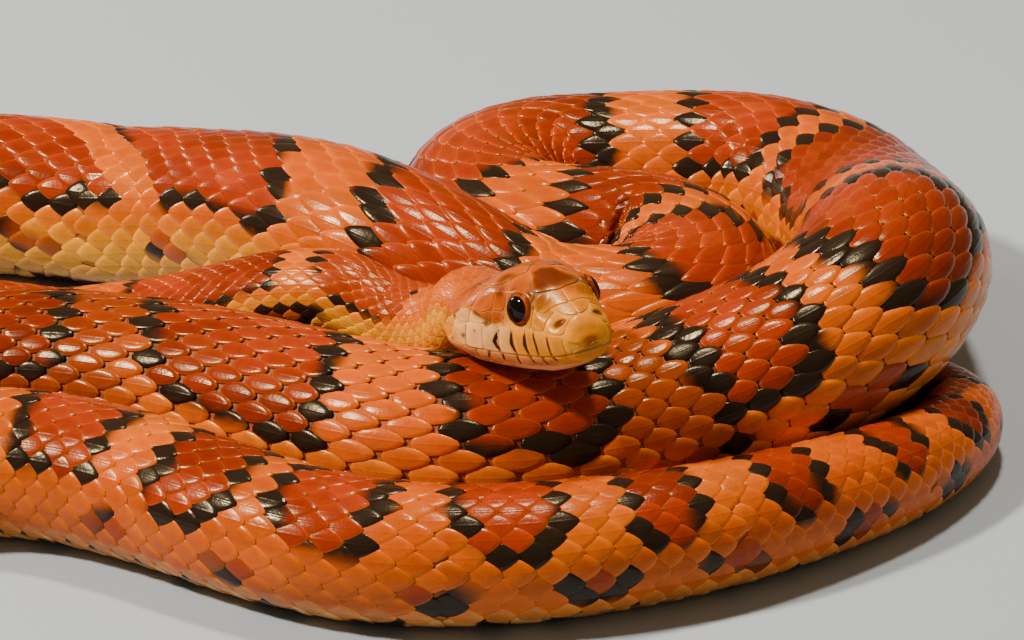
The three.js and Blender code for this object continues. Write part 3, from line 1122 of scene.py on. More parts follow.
@dataclass
class MeshParts:
    """Vertices, triangles and attributes gathered for one mesh."""

    points: list[Array] = field(default_factory=list)
    triangles: list[Array] = field(default_factory=list)
    soft: list[Array] = field(default_factory=list)
    colours: list[Array] = field(default_factory=list)
    lays: list[Array] = field(default_factory=list)
    unwraps: list[Array] = field(default_factory=list)
    count: int = 0

    def add(self, points: Array, triangles: Array, soft: Array, colours: Array,
            lays: Array, unwraps: Array) -> None:
        """Adds a set of vertices with their triangles and attributes.

        Args:
            points: Vertices in the frame of the way points, in millimetres.
            triangles: Indices into those vertices.
            soft: Which triangles are smooth shaded.
            colours: Four numbers for each vertex.
            lays: For each vertex its place along and across the scale, how far in from the rim, and a tint.
            unwraps: Two map coordinates for each corner of each triangle.
        """
        self.points.append(points)
        self.triangles.append(triangles + self.count)
        self.soft.append(soft)
        self.colours.append(colours)
        self.lays.append(lays)
        self.unwraps.append(unwraps)
        self.count += len(points)

    def build(self, name: str, material: Material) -> Object:
        """Writes the mesh and its attributes.

        Args:
            name: The piece's name.
            material: Its finish.

        Returns:
            The new object, at the origin.
        """
        points = (np.vstack(self.points) - MIDDLE) * METRES
        triangles = np.vstack(self.triangles).astype(np.int32)
        mesh = bpy.data.meshes.new(name)
        mesh.vertices.add(len(points))
        mesh.vertices.foreach_set("co", points.astype(np.float32).ravel())
        mesh.loops.add(triangles.size)
        mesh.loops.foreach_set("vertex_index", triangles.ravel())
        mesh.polygons.add(len(triangles))
        mesh.polygons.foreach_set("loop_start", np.arange(0, triangles.size, 3, dtype=np.int32))
        mesh.polygons.foreach_set("use_smooth", np.concatenate(self.soft))
        mesh.update(calc_edges=True)
        for title, numbers in (("Markings", self.colours), ("Lay", self.lays)):
            layer = mesh.attributes.new(title, "FLOAT_COLOR", "POINT")
            layer.data.foreach_set("color", np.vstack(numbers).astype(np.float32).ravel())
        unwrap = mesh.uv_layers.new(name="OFBake")
        unwrap.data.foreach_set("uv", np.vstack(self.unwraps).astype(np.float32).ravel())
        mesh.materials.append(material)
        piece = bpy.data.objects.new(name, mesh)
        bpy.context.scene.collection.objects.link(piece)
        return piece


@dataclass
class Unwrap:
    """The skin laid flat in lanes: the head in the first, the rest of the body in the others."""

    length: float
    head_end: float = 27.0
    body_lanes: int = 4
    margin: float = 0.004

    def place(self, s: Array, angle: Array, guide: Array) -> Array:
        """Map coordinates of places on the skin.

        Args:
            s: Distances from the snout.
            angle: Angles round the body, in radians.
            guide: Distances that choose each one's lane.

        Returns:
            Two numbers for each place.
        """
        lane_length = (self.length - self.head_end) / self.body_lanes
        lane = np.where(guide < self.head_end, 0, 1 + np.floor((guide - self.head_end) / lane_length))
        lane = np.minimum(lane, self.body_lanes)
        start = np.where(lane == 0, 0.0, self.head_end + (lane - 1) * lane_length)
        share = (s - start) / np.where(lane == 0, self.head_end, lane_length)
        turn = angle / (2 * math.pi) + 0.5
        inner = 1 - 2 * self.margin
        up = (lane + self.margin + inner * turn) / (self.body_lanes + 1)
        return np.stack([self.margin + inner * share, up], axis=-1)

    def corners(self, s: Array, angle: Array, triangles: Array) -> Array:
        """Map coordinates for the corners of triangles, with none stretched over the belly's seam.

        Args:
            s: Distances of the vertices from the snout.
            angle: Their angles round the body, in radians.
            triangles: Indices into those vertices.

        Returns:
            Two numbers for each corner.
        """
        own_s, own_angle = s[triangles], angle[triangles]
        over = (own_angle.max(axis=1) - own_angle.min(axis=1) > math.pi)[:, None] & (own_angle < 0)
        guide = np.broadcast_to(own_s.mean(axis=1, keepdims=True), own_s.shape)
        return self.place(own_s, own_angle + 2 * math.pi * over, guide).reshape(-1, 2)


@dataclass(frozen=True)
class ScaleKind:
    """The shape of the scales over a range of slack in the skin, from 0 for tight to 1 for set apart."""

    low: float
    high: float
    pointed: float
    root_height: float
    tip_shade: float


@dataclass
class Coat:
    """The scales of the body and the plates of the belly, each one a solid plate laid over the skin."""

    body: Body
    markings: Markings
    row_edge: float = 124.0
    row_spread: float = 0.10
    pitch_shares: Pairs = (
        (24, 0.40), (60, 0.42), (240, 0.44), (262, 0.50), (285, 0.50), (300, 0.39), (345, 0.38), (380, 0.40),
        (800, 0.40), (880, 0.38),
    )
    least_girth: float = 0.9
    row_counts: tuple[tuple[float, int], ...] = (
        (100, 25), (600, 27), (680, 25), (760, 23), (900, 21), (930, 19), (955, 17), (975, 15), (995, 13),
        (1015, 11), (1038, 9), (math.inf, 7),
    )
    loosened: Pairs = ((225, 0), (250, 1), (330, 1), (350, 0.6), (380, 0.5), (398, 0))
    kinds: tuple[ScaleKind, ...] = (
        ScaleKind(-1.0, 0.25, 1.5, 0.42, 0.0),
        ScaleKind(0.25, 0.8, 2.0, 0.6, 0.35),
        ScaleKind(0.8, 2.0, 1.85, 0.5, 0.45),
    )
    scale_points: int = 16
    scale_blunt: float = 0.14
    scale_rings: Pairs = ((1, 0.42), (0.9, 0.82), (0.6, 1.08))
    scale_crown: float = 1.12
    half_lengths: Pairs = ((0, 0.565), (0.5, 0.51), (1, 0.47))
    half_widths: Pairs = ((0, 0.91), (0.2, 0.86), (0.5, 0.79), (1, 0.75))
    neck_heights: Pairs = ((20, 0.36), (32, 1))
    scale_follow: float = 0.15
    jitter: float = 0.05
    shades: Span = (0.86, 0.28)
    belly_rings: Pairs = ((1, 0.6), (0.93, 0.9), (0.78, 0.95), (0.6, 0.97), (0.4, 0.97), (0.2, 0.97))
    belly_crown: float = 0.97
    belly_root: float = 0.3
    belly_length: float = 0.62
    belly_overlap: float = 1.0
    belly_follow: float = 0.8
    gular_end: float = 26.0
    gular_rows: int = 5
    gular_gap: float = 9.6
    shields_end: float = 30.0
    patch: float = 0.0015
    seed: int = 11

    def __post_init__(self) -> None:
        """Sets up the fixed draw of random numbers and the unwrap."""
        self.random = np.random.default_rng(self.seed)
        self.unwrap = Unwrap(self.body.length)

    def columns(self, start: float, end: float, samples: int = 4000) -> Array:
        """Spaces the columns of scales, a scale's length apart.

        Args:
            start: Where they start, as a distance from the snout.
            end: Where they end.
            samples: How closely the length of the scales is read.

        Returns:
            Their distances.
        """
        fine = np.linspace(start, end, samples)
        girth = np.maximum(self.body.line.girth(fine), self.least_girth)
        rate = 1.0 / (read_off(self.pitch_shares, fine) * girth)
        number = np.concatenate([[0.0], np.cumsum((rate[1:] + rate[:-1]) / 2 * np.diff(fine))])
        count = max(1, round(number[-1]))
        return np.interp(np.arange(count) + 0.5, number * count / number[-1], fine)

    def lay(self, parts: MeshParts, shape: PlateShape, s: Array, angle: Array, length: Array,
            width: Array, height: Array, follow: float, patched: bool = True) -> None:
        """Lays one plate at each place.

        Args:
            parts: What the plates are added to.
            shape: Their shape.
            s: Distances of their middles from the snout.
            angle: Angles of their middles round the body, in radians.
            length: Their half lengths, in millimetres.
            width: Their half widths, in radians.
            height: How high each stands, as a share of the coat.
            follow: How much of the markings is read within a plate, where 0 gives it one colour.
            patched: Whether each plate's map is a small patch at its root, and not its own place on the skin.
        """
        template, inner = shape.template()
        faces, soft = shape.faces()
        own_s = s[:, None] + length[:, None] * template[None, :, 0]
        own_angle = angle[:, None] + width[:, None] * template[None, :, 1]
        points = self.body.lifted(own_s, own_angle, template[None, :, 2] * height[:, None])
        tint = self.random.random(len(s))[:, None]
        read_s = s[:, None] + (own_s - s[:, None]) * follow
        read_angle = angle[:, None] + (own_angle - angle[:, None]) * follow
        colours = self.markings.colour(read_s, read_angle, tint)
        least, more = self.shades
        shade = least + more * self.random.random(len(s))
        free = shape.tip_shade * smooth(template[:, 0], -0.1, 0.9) * (1 - smooth(inner, 0.0, 0.2))
        colours[..., :3] *= shade[:, None, None] * (1 - free)[None, :, None]
        lays = np.stack(np.broadcast_arrays(*template.T[:2], inner, tint), axis=-1)
        step = len(template) * np.arange(len(s))[:, None, None]
        every = (faces[None] + step).reshape(-1, 3)
        if patched:
            root = self.unwrap.place(s - 0.8 * length, angle, s)[:, None, :]
            places = (root + template[None, :, :2] * self.patch).reshape(-1, 2)[every].reshape(-1, 2)
        else:
            places = self.unwrap.corners(own_s.ravel(), own_angle.ravel(), every)
        parts.add(points.reshape(-1, 3), every, np.tile(soft, len(s)), colours.reshape(-1, 4),
                  lays.reshape(-1, 4), places)

    def covered(self, s: Array, angle: Array, shields: "HeadShields") -> Array:
        """Finds the places that lie under a head shield, by how often a line from each crosses its outline.

        Args:
            s: Distances from the snout.
            angle: Angles round the body, in radians.
            shields: The head shields.

        Returns:
            Whether each place is covered.
        """
        found = np.zeros(s.shape, bool)
        for outline in shields.outlines():
            crossings = np.zeros(s.shape, int)
            for (s0, a0), (s1, a1) in zip(outline, np.roll(outline, -1, axis=0)):
                if a0 != a1:
                    meet = s0 + (angle - a0) * (s1 - s0) / (a1 - a0)
                    crossings += ((a0 > angle) != (a1 > angle)) & (s < meet)
            found |= crossings % 2 == 1
        return found

    def row_angles(self, rows: int) -> Array:
        """Angles of the rows of scales over the back, in degrees, wider apart low on the flanks."""
        share = np.linspace(-1, 1, rows)
        return self.row_edge * ((1 - self.row_spread) * share + self.row_spread * share ** 3)

    def lattice(self, start: float, end: float) -> Array:
        """Sets out the scales between two distances, those of every second row half a scale further on.

        Args:
            start: Where they start.
            end: Where they end.

        Returns:
            For each scale its distance and angle, and how far it is to the next column and row.
        """
        columns = self.columns(start, end)
        found = []
        for s, step in zip(columns, np.gradient(columns)):
            rows = next(rows for limit, rows in self.row_counts if s < limit)
            angles = self.row_angles(rows)
            gaps = np.gradient(angles)
            numbers = np.abs(np.arange(rows) - rows // 2)
            if s < self.gular_end:
                more = np.arange(1, self.gular_rows + 1)
                low = self.row_edge + self.gular_gap * more
                angles = np.concatenate([angles, low, -low])
                gaps = np.concatenate([gaps, np.full(2 * self.gular_rows, self.gular_gap)])
                numbers = np.concatenate([numbers, np.tile(more + rows // 2, 2)])
            shift = np.where(numbers % 2 == 1, 0.5 * step, 0.0)
            steps = np.full(len(angles), step)
            found.append(np.column_stack([s + shift, np.radians(angles), steps, np.radians(gaps)]))
        return np.vstack(found)

    def scales(self, name: str, start: float, end: float, material: Material,
               shields: "HeadShields") -> Object:
        """Lays the scales of one length of the body.

        Args:
            name: The piece's name.
            start: Where the length starts.
            end: Where it ends.
            material: The finish.
            shields: The head shields, which the first scales make room for.

        Returns:
            The new piece.
        """
        table = self.lattice(start, end)
        if start < self.shields_end:
            table = table[~self.covered(table[:, 0], table[:, 1], shields)]
        s, angle, step, gap = table.T
        loose = read_off(self.loosened, s)
        parts = MeshParts()
        jitter = 1 + self.jitter * (self.random.random(len(s)) - 0.5)
        length = step * jitter * read_off(self.half_lengths, loose)
        width = gap * read_off(self.half_widths, loose)
        height = read_off(self.neck_heights, s)
        for kind in self.kinds:
            chosen = (loose > kind.low) & (loose <= kind.high)
            if not chosen.any():
                continue
            outline = scale_outline(self.scale_points, kind.pointed, self.scale_blunt)
            shape = PlateShape(outline, self.scale_rings, self.scale_crown, root_height=kind.root_height,
                               tip_shade=kind.tip_shade)
            sizes = (length[chosen], width[chosen], height[chosen])
            self.lay(parts, shape, s[chosen], angle[chosen], *sizes, self.scale_follow)
        return parts.build(name, material)

    def belly(self, name: str, material: Material) -> Object:
        """Lays the wide plates of the belly and the paired ones under the tail.

        Args:
            name: The piece's name.
            material: The finish.

        Returns:
            The new piece.
        """
        parts = MeshParts()
        outline, paired = scale_outline(28, 5.0, 0.05), scale_outline(self.scale_points, 3.0, 0.1)
        flank = 180 - self.row_edge
        place = (180.0, flank + self.belly_overlap)
        self.belly_run(parts, outline, self.belly_rings, (self.gular_end, VENT), place)
        for side in (-1, 1):
            place = (side * (180 - flank / 2), flank / 2)
            self.belly_run(parts, paired, self.belly_rings[:3], (VENT, self.body.length - 2), place)
        return parts.build(name, material)

    def belly_run(self, parts: MeshParts, outline: Pairs, rings: Pairs, ends: Span, place: Span) -> None:
        """Lays one row of belly plates.

        Args:
            parts: What they are added to.
            outline: Their outline.
            rings: The rings drawn in from it, with their heights.
            ends: Where the row starts and ends, as distances from the snout.
            place: The angle of its middle and half its width, in degrees.
        """
        shape = PlateShape(outline, rings, self.belly_crown, root_height=self.belly_root)
        s = self.columns(*ends)
        angle, half = (np.full(len(s), math.radians(number)) for number in place)
        length = np.gradient(s) * self.belly_length
        self.lay(parts, shape, s, angle, length, half, np.ones(len(s)), self.belly_follow)


@dataclass(frozen=True)
class Shield:
    """One head shield by its outline, read on a chart of the head."""

    chart: Chart
    outline: Pairs
    step: float = 0.33
    pole_side: float = 2.4

    def places(self, head: Head, side: int) -> Array:
        """Reads the outline on one side of the head, in close steps.

        Args:
            head: The head that the charts are of.
            side: 1 for the left and -1 for the right.

        Returns:
            Distances from the snout and angles round the head.
        """
        rough = np.array(self.outline, float)
        close = []
        for start, end in zip(rough, np.roll(rough, -1, axis=0)):
            length = math.hypot(*(end - start)) if self.chart is not Chart.POLE else self.pole_side
            count = max(2, round(length / self.step))
            close.append(start + (end - start) * (np.arange(count) / count)[:, None])
        line = np.vstack(close)
        line = 0.5 * line + 0.25 * (np.roll(line, 1, axis=0) + np.roll(line, -1, axis=0))
        if self.chart is Chart.POLE:
            return np.column_stack([line[:, 0], np.radians(line[:, 1])])
        s = head.distance_of(line[:, 0])
        _, wide, top, bottom = head.section(s)
        power = 1 / head.squareness
        if self.chart is Chart.SIDE:
            tall = np.where(line[:, 1] > 0, top, -bottom)
            rise = np.sign(line[:, 1]) * np.clip(np.abs(line[:, 1]) / tall, 0, 1) ** power
            return np.column_stack([s, side * np.arccos(rise)])
        spread = np.sign(line[:, 1]) * np.arcsin(np.clip(np.abs(line[:, 1]) / wide, 0, 1) ** power)
        if self.chart is Chart.UNDER:
            return np.column_stack([s, side * (math.pi - spread)])
        return np.column_stack([s, side * spread])


@dataclass
class HeadShields:
    """The large shields of the head and the rims of the eyes."""

    body: Body
    coat: Coat
    gap: float = 0.006
    height: float = 0.42
    seam: float = 0.06
    crown: float = 1.06
    lift: float = 0.07
    rim_offset: float = 0.05
    rim_radius: float = 0.08
    rim_faces: tuple[int, int] = (56, 10)
    rim_lay: Colour = (0.0, 1.0, 0.6, 0.5)
    rim_patch: float = 0.01
    # Where the seams of the upper lip are at the mouth, at their tops, and how high those are.
    upper_seams: tuple[Point, ...] = (
        (23.3, 22.95, 1.3), (21.75, 21.3, 1.45), (19.95, 19.5, 1.7), (18.5, 18.2, 1.95), (16.5, 16.1, 1.95),
        (13.9, 14.05, 1.85), (11.3, 11.6, 1.9), (8.5, 8.9, 1.8), (5.2, 6.1, 1.2),
    )
    lower_seams: tuple[float, ...] = (23.1, 21.7, 20.25, 18.45, 16.35, 14.15, 12.1, 9.9, 7.7, 5.4)
    lower_depth: float = 1.35

    def under_brow(self, along: float, across: float) -> Span:
        """Finds the place on the side's chart just below one on the crown's chart.

        Args:
            along: How far it is from the back of the skull.
            across: How far it is from the middle of the crown.

        Returns:
            Its distance from the back of the skull and its height.
        """
        head = self.body.head
        _, wide, top, _ = head.section(head.distance_of(np.array([along])))
        rise = (1 - (across / wide[0]) ** (2 / head.squareness)) ** (head.squareness / 2)
        return along, top[0] * rise - self.lift

    def crown_shields(self) -> list[Shield]:
        """Lists the shields of one side of the crown, from the snout back.

        Returns:
            The shields.
        """
        outlines = (
            ((22.15, 0), (22.15, 0.6), (21.75, 1.35), (21, 1.85), (20.3, 2.05), (20.4, 1.2),
             (20.65, 0)),
            ((20.55, 0), (20.3, 1.1), (20.2, 2.15), (20.2, 2.95), (19.5, 3.45), (18.75, 3.15), (18.35, 1.9),
             (18.75, 0)),
            ((18.3, 2.3), (18.6, 3.2), (17.6, 4.05), (16, 4.4), (14.4, 4.2), (13.75, 2.9), (14.4, 1.6),
             (16.2, 2.15)),
            ((14.3, 1.5), (12.9, 0), (9.5, 0), (6.2, 0), (5.7, 1.6), (6.6, 3.5), (8.6, 4.4),
             (11.3, 4.65), (12.8, 4.15), (13.6, 3)),
        )
        return [Shield(Chart.TOP, outline) for outline in outlines]

    def side_shields(self) -> list[Shield]:
        """Lists the shields between the crown and the upper lip, from the nostril back, and under the chin.

        Returns:
            The shields of one side.
        """
        below = self.under_brow
        outlines = (
            ((22.95, 1.42), (22.0, 1.55), (20.9, 1.82), (20.85, 2.5), below(20.9, 1.9), below(21.75, 1.4),
             below(22.3, 0.9), (22.85, 2.1)),
            ((20.8, 1.82), (20.1, 1.9), (19.15, 2.04), (19.0, 2.9), below(19.1, 3.3), below(19.5, 3.45),
             below(20.2, 2.97), below(20.3, 2.1), below(20.8, 1.97)),
            ((19.1, 2.04), (18.4, 2.0), (18.35, 2.8), (18.4, 4.0), below(18.45, 3.1), below(18.75, 3.15),
             below(19.05, 3.3), (18.92, 2.9)),
            ((14.75, 3.6), (14.85, 4.4), below(14.4, 4.2), below(13.75, 3.0), below(13.5, 3.1),
             below(12.95, 4.1), (13.0, 3.6)),
            ((14.75, 3.5), (14.9, 2.7), (15.2, 2.05), (14.2, 1.95), (13.1, 2), (13, 3.5)),
            ((12.9, 3.55), below(12.85, 4.2), below(11.3, 4.7), below(9.8, 4.6), (9.6, 3.7), (11.2, 3.2)),
            ((12.9, 3.45), (11.2, 3.1), (9.6, 3.6), (9.3, 2.7), (9.6, 2), (11.7, 1.97), (13, 1.97)),
            ((9.5, 3.8), below(9.7, 4.6), below(8.6, 4.45), below(6.6, 3.6), (6.5, 3.4), (8.0, 3.3)),
            ((9.5, 3.65), (8, 3.2), (6.4, 3.3), (6, 2.4), (7.4, 1.9), (9.4, 1.95), (9.2, 2.7)),
        )
        front = ((21.8, 0.05), (21.6, 1.5), (19.4, 2.3), (16.9, 2.1), (16.6, 0.05))
        back = ((16.5, 0.1), (16.7, 2.0), (14.6, 2.0), (12.4, 1.1), (12.2, 0.3))
        chin = [Shield(Chart.UNDER, front), Shield(Chart.UNDER, back)]
        return [Shield(Chart.SIDE, outline) for outline in outlines] + chin

    def snout_shields(self) -> list[Shield]:
        """The shields at the tip of the snout and of the chin, each as a fan about the tip."""
        outlines = (
            ((0.3, -78), (2.3, -76), (2.95, -52), (3.35, -26), (3.75, 0), (3.35, 26),
             (2.95, 52), (2.3, 76), (0.3, 78)),
            ((0.3, 104), (1.9, 108), (2.5, 132), (2.7, 180), (2.5, 228), (1.9, 252),
             (0.3, 256)),
        )
        return [Shield(Chart.POLE, outline) for outline in outlines]

    def lip_shields(self) -> list[Shield]:
        """Sets out the shields of both lips by the seams between them.

        Returns:
            The shields, from the snout back.
        """
        found = []
        lip_line, seam, lift = self.body.head.lip_line, self.seam, self.lift
        for ahead, behind in zip(self.upper_seams[:-1], self.upper_seams[1:]):
            (foot, top, high), (next_foot, next_top, next_high) = ahead, behind
            found.append(Shield(Chart.SIDE, (
                (foot - seam, lip_line(foot) + lift), (top - seam, high),
                ((top + next_top) / 2, (high + next_high) / 2 + 0.05),
                (next_top + seam, next_high), (next_foot + seam, lip_line(next_foot) + lift),
            )))
        for ahead, behind in zip(self.lower_seams[:-1], self.lower_seams[1:]):
            top_ahead, top_behind = lip_line(ahead) - lift, lip_line(behind) - lift
            found.append(Shield(Chart.SIDE, (
                (ahead - 0.05, top_ahead), (behind + 0.05, top_behind),
                (behind - 0.30, top_behind - self.lower_depth), (ahead - 0.40, top_ahead - self.lower_depth),
            )))
        return found

    def outlines(self) -> list[Array]:
        """Reads every shield's outline, first those that lie across the middle line.

        Returns:
            Distances from the snout and angles round the head, one array for each shield.
        """
        head = self.body.head
        frontal = ((18.7, 0.0), (18.2, 2.15), (16.2, 2.0), (14.4, 1.4), (13.0, 0.0), (14.4, -1.4),
                   (16.2, -2), (18.2, -2.15))
        whole = [Shield(Chart.TOP, frontal), *self.snout_shields()]
        sided = [*self.crown_shields(), *self.side_shields(), *self.lip_shields()]
        return [shield.places(head, 1) for shield in whole] + [
            shield.places(head, side) for shield in sided for side in (-1, 1)]

    def build(self, name: str, material: Material) -> Object:
        """Lays every shield and the rims of the eyes.

        Args:
            name: The piece's name.
            material: The finish.

        Returns:
            The new piece.
        """
        parts = MeshParts()
        domed = tuple((share / 10, self.crown - share * 0.005) for share in range(8, 0, -1))
        rings = ((1.0, 0.72), (0.97, 0.92), (0.9, 1.0)) + domed
        for outline in self.outlines():
            after = np.roll(outline, -1, axis=0)
            if np.sum(outline[:, 0] * after[:, 1] - after[:, 0] * outline[:, 1]) < 0:
                outline = outline[::-1]
            middle = (outline.min(axis=0) + outline.max(axis=0)) / 2
            half = (outline.max(axis=0) - outline.min(axis=0)) / 2
            local = (outline - middle) / half
            shape = PlateShape(tuple(map(tuple, local)), rings, self.crown, root_height=1.0, thickness=0.7)
            places = (np.array([number]) for number in (*middle, *half * (1 - self.gap), self.height))
            self.coat.lay(parts, shape, *places, 1.0, patched=False)
        for sign in (-1.0, 1.0):
            self.eye_rim(parts, sign)
        return parts.build(name, material)

    def eye_rim(self, parts: MeshParts, sign: float) -> None:
        """Adds the raised rim round one eye.

        Args:
            parts: What it is added to.
            sign: The side of the head.
        """
        head = self.body.head
        centre, axis, upright, level = head.eye_frame(sign)
        around, across = self.rim_faces
        turn = np.linspace(0, 2 * math.pi, around, endpoint=False)[:, None]
        roll = np.linspace(0, 2 * math.pi, across, endpoint=False)[None, :]
        ring = head.eye_radius + self.rim_offset + self.rim_radius * np.cos(roll)
        rise = head.rim_height + self.rim_radius * np.sin(roll)
        circle = (ring * np.cos(turn))[..., None] * level + (ring * np.sin(turn))[..., None] * upright
        points = centre + circle + rise[..., None] * axis
        points = head.to_world(points.reshape(-1, 3))
        near = np.arange(around)[:, None] * across + np.arange(across)
        nearby = np.roll(near, -1, axis=1)
        after, beyond = np.roll(near, -1, axis=0), np.roll(nearby, -1, axis=0)
        faces = np.vstack([np.stack([near, after, beyond], -1).reshape(-1, 3),
                           np.stack([near, beyond, nearby], -1).reshape(-1, 3)])
        tone = self.coat.markings.palette
        colours = np.tile([*(tone["crown"] * 0.35 + tone["umber"] * 0.35), 0.0], (len(points), 1))
        lays = np.tile(self.rim_lay, (len(points), 1))
        s = np.full(len(points), head.distance_of(head.eye[0]))
        ringed = np.repeat(np.column_stack([np.cos(turn), np.sin(turn)]), across, axis=0)
        places = self.coat.unwrap.place(s, np.full(len(points), sign), s) + ringed * self.rim_patch
        parts.add(points, faces, np.ones(len(faces), bool), colours, lays, places[faces].reshape(-1, 2))


@dataclass
class Skin:
    """The one skin under the scales, from the snout to the tip of the tail."""

    body: Body
    markings: Markings
    unwrap: Unwrap
    head_columns: int = 128
    head_step: float = 0.22
    body_step: float = 1.0
    change: float = 31.0
    ends: Span = (0.12, 0.4)
    socket_rim: Span = (-0.25, 0.05)
    socket_depth: float = 1.2
    socket_reach: float = 2.5
    stretch_from: Span = (24, 50)

    def rows(self) -> Array:
        """Spaces the skin's rings, closer over the head.

        Returns:
            Their distances from the snout.
        """
        head = np.arange(self.ends[0], self.change, self.head_step)
        body = np.arange(self.change + self.head_step, self.body.length - self.ends[1], self.body_step)
        return np.concatenate([head, body])

    def socket(self, points: Array, sign: float) -> Array:
        """Draws the skin in behind one eye.

        Args:
            points: The skin's points in the frame of the way points.
            sign: The side of the head.

        Returns:
            The moved points.
        """
        head = self.body.head
        centre, axis = head.eye_in_world(sign)
        depth, radius = off_axis(points, centre, axis)
        share = 1 - smooth(radius, *(head.eye_radius + edge for edge in self.socket_rim))
        share = share * (np.abs(depth) < self.socket_reach)
        return points + axis * ((-self.socket_depth - depth) * share)[..., None]

    def build(self, name: str, material: Material) -> Object:
        """Builds the skin as one closed mesh.

        Args:
            name: The piece's name.
            material: The finish.

        Returns:
            The new piece.
        """
        every_s, every_angle, faces, starts = [], [], [], []
        count = 0
        rows = self.rows()
        for s in rows:
            columns = self.head_columns if s < self.change else self.head_columns // 2
            every_s.append(np.full(columns, s))
            every_angle.append(-math.pi + 2 * math.pi * np.arange(columns) / columns)
            starts.append((count, columns))
            count += columns
        for (start, columns), (after, fewer) in zip(starts[:-1], starts[1:]):
            near = np.arange(fewer)
            nearby = (near + 1) % fewer
            if columns == fewer:
                faces.append(np.column_stack([start + near, start + nearby, after + nearby]))
                faces.append(np.column_stack([start + near, after + nearby, after + near]))
            else:
                first, middle, last = start + 2 * near, start + 2 * near + 1, start + (2 * near + 2) % columns
                faces.append(np.column_stack([first, middle, after + near]))
                faces.append(np.column_stack([middle, last, after + nearby]))
                faces.append(np.column_stack([middle, after + nearby, after + near]))
        s, angle = np.concatenate(every_s), np.concatenate(every_angle)
        points = self.body.lifted(s, angle, np.zeros_like(s))
        for sign in (-1.0, 1.0):
            points[s < HEAD_LENGTH] = self.socket(points[s < HEAD_LENGTH], sign)
        tips = np.array([points[:starts[0][1]].mean(axis=0), points[starts[-1][0]:].mean(axis=0)])
        near = np.arange(starts[0][1])
        faces.append(np.column_stack([np.full(len(near), count), (near + 1) % len(near), near]))
        start, columns = starts[-1]
        near = np.arange(columns)
        last = np.full(columns, count + 1)
        faces.append(np.column_stack([start + near, start + (near + 1) % columns, last]))
        points = np.vstack([points, tips])
        s, angle = np.append(s, [rows[0], rows[-1]]), np.append(angle, [0.0, 0.0])
        triangles = np.vstack(faces)
        colours = self.markings.colour(s, angle, np.full(len(s), 0.5))
        stretched = smooth(s, *self.stretch_from)
        lays = np.column_stack([0 * s, 1 + 0 * s, stretched, 0.5 + 0 * s])
        parts = MeshParts()
        parts.add(points, triangles, np.ones(len(triangles), bool), colours, lays,
                  self.unwrap.corners(s, angle, triangles))
        return parts.build(name, material)


class Value:
    """A number socket that can be used in expressions."""

    def __init__(self, shader: "Shader", socket: NodeSocket) -> None:
        """Wraps one output socket of a shader."""
        self.shader = shader
        self.socket = socket

    def math(self, operation: str, *others: "Value | float") -> "Value":
        """One Math node on this value and others."""
        return self.shader.value("ShaderNodeMath", {"operation": operation}, dict(enumerate((self, *others))))

    def __add__(self, other: "Value | float") -> "Value":
        """Sum."""
        return self.math("ADD", other)

    def __rsub__(self, other: float) -> "Value":
        """Difference from a number on the left."""
        return self.shader.value("ShaderNodeMath", {"operation": "SUBTRACT"}, {0: other, 1: self})

    def __mul__(self, other: "Value | float") -> "Value":
        """Product."""
        return self.math("MULTIPLY", other)

    def step(self, low: float, high: float) -> "Value":
        """A soft step from 0 at low to 1 at high."""
        inputs = {"Value": self, "From Min": low, "From Max": high}
        return self.shader.value("ShaderNodeMapRange", {"interpolation_type": "SMOOTHSTEP"}, inputs)


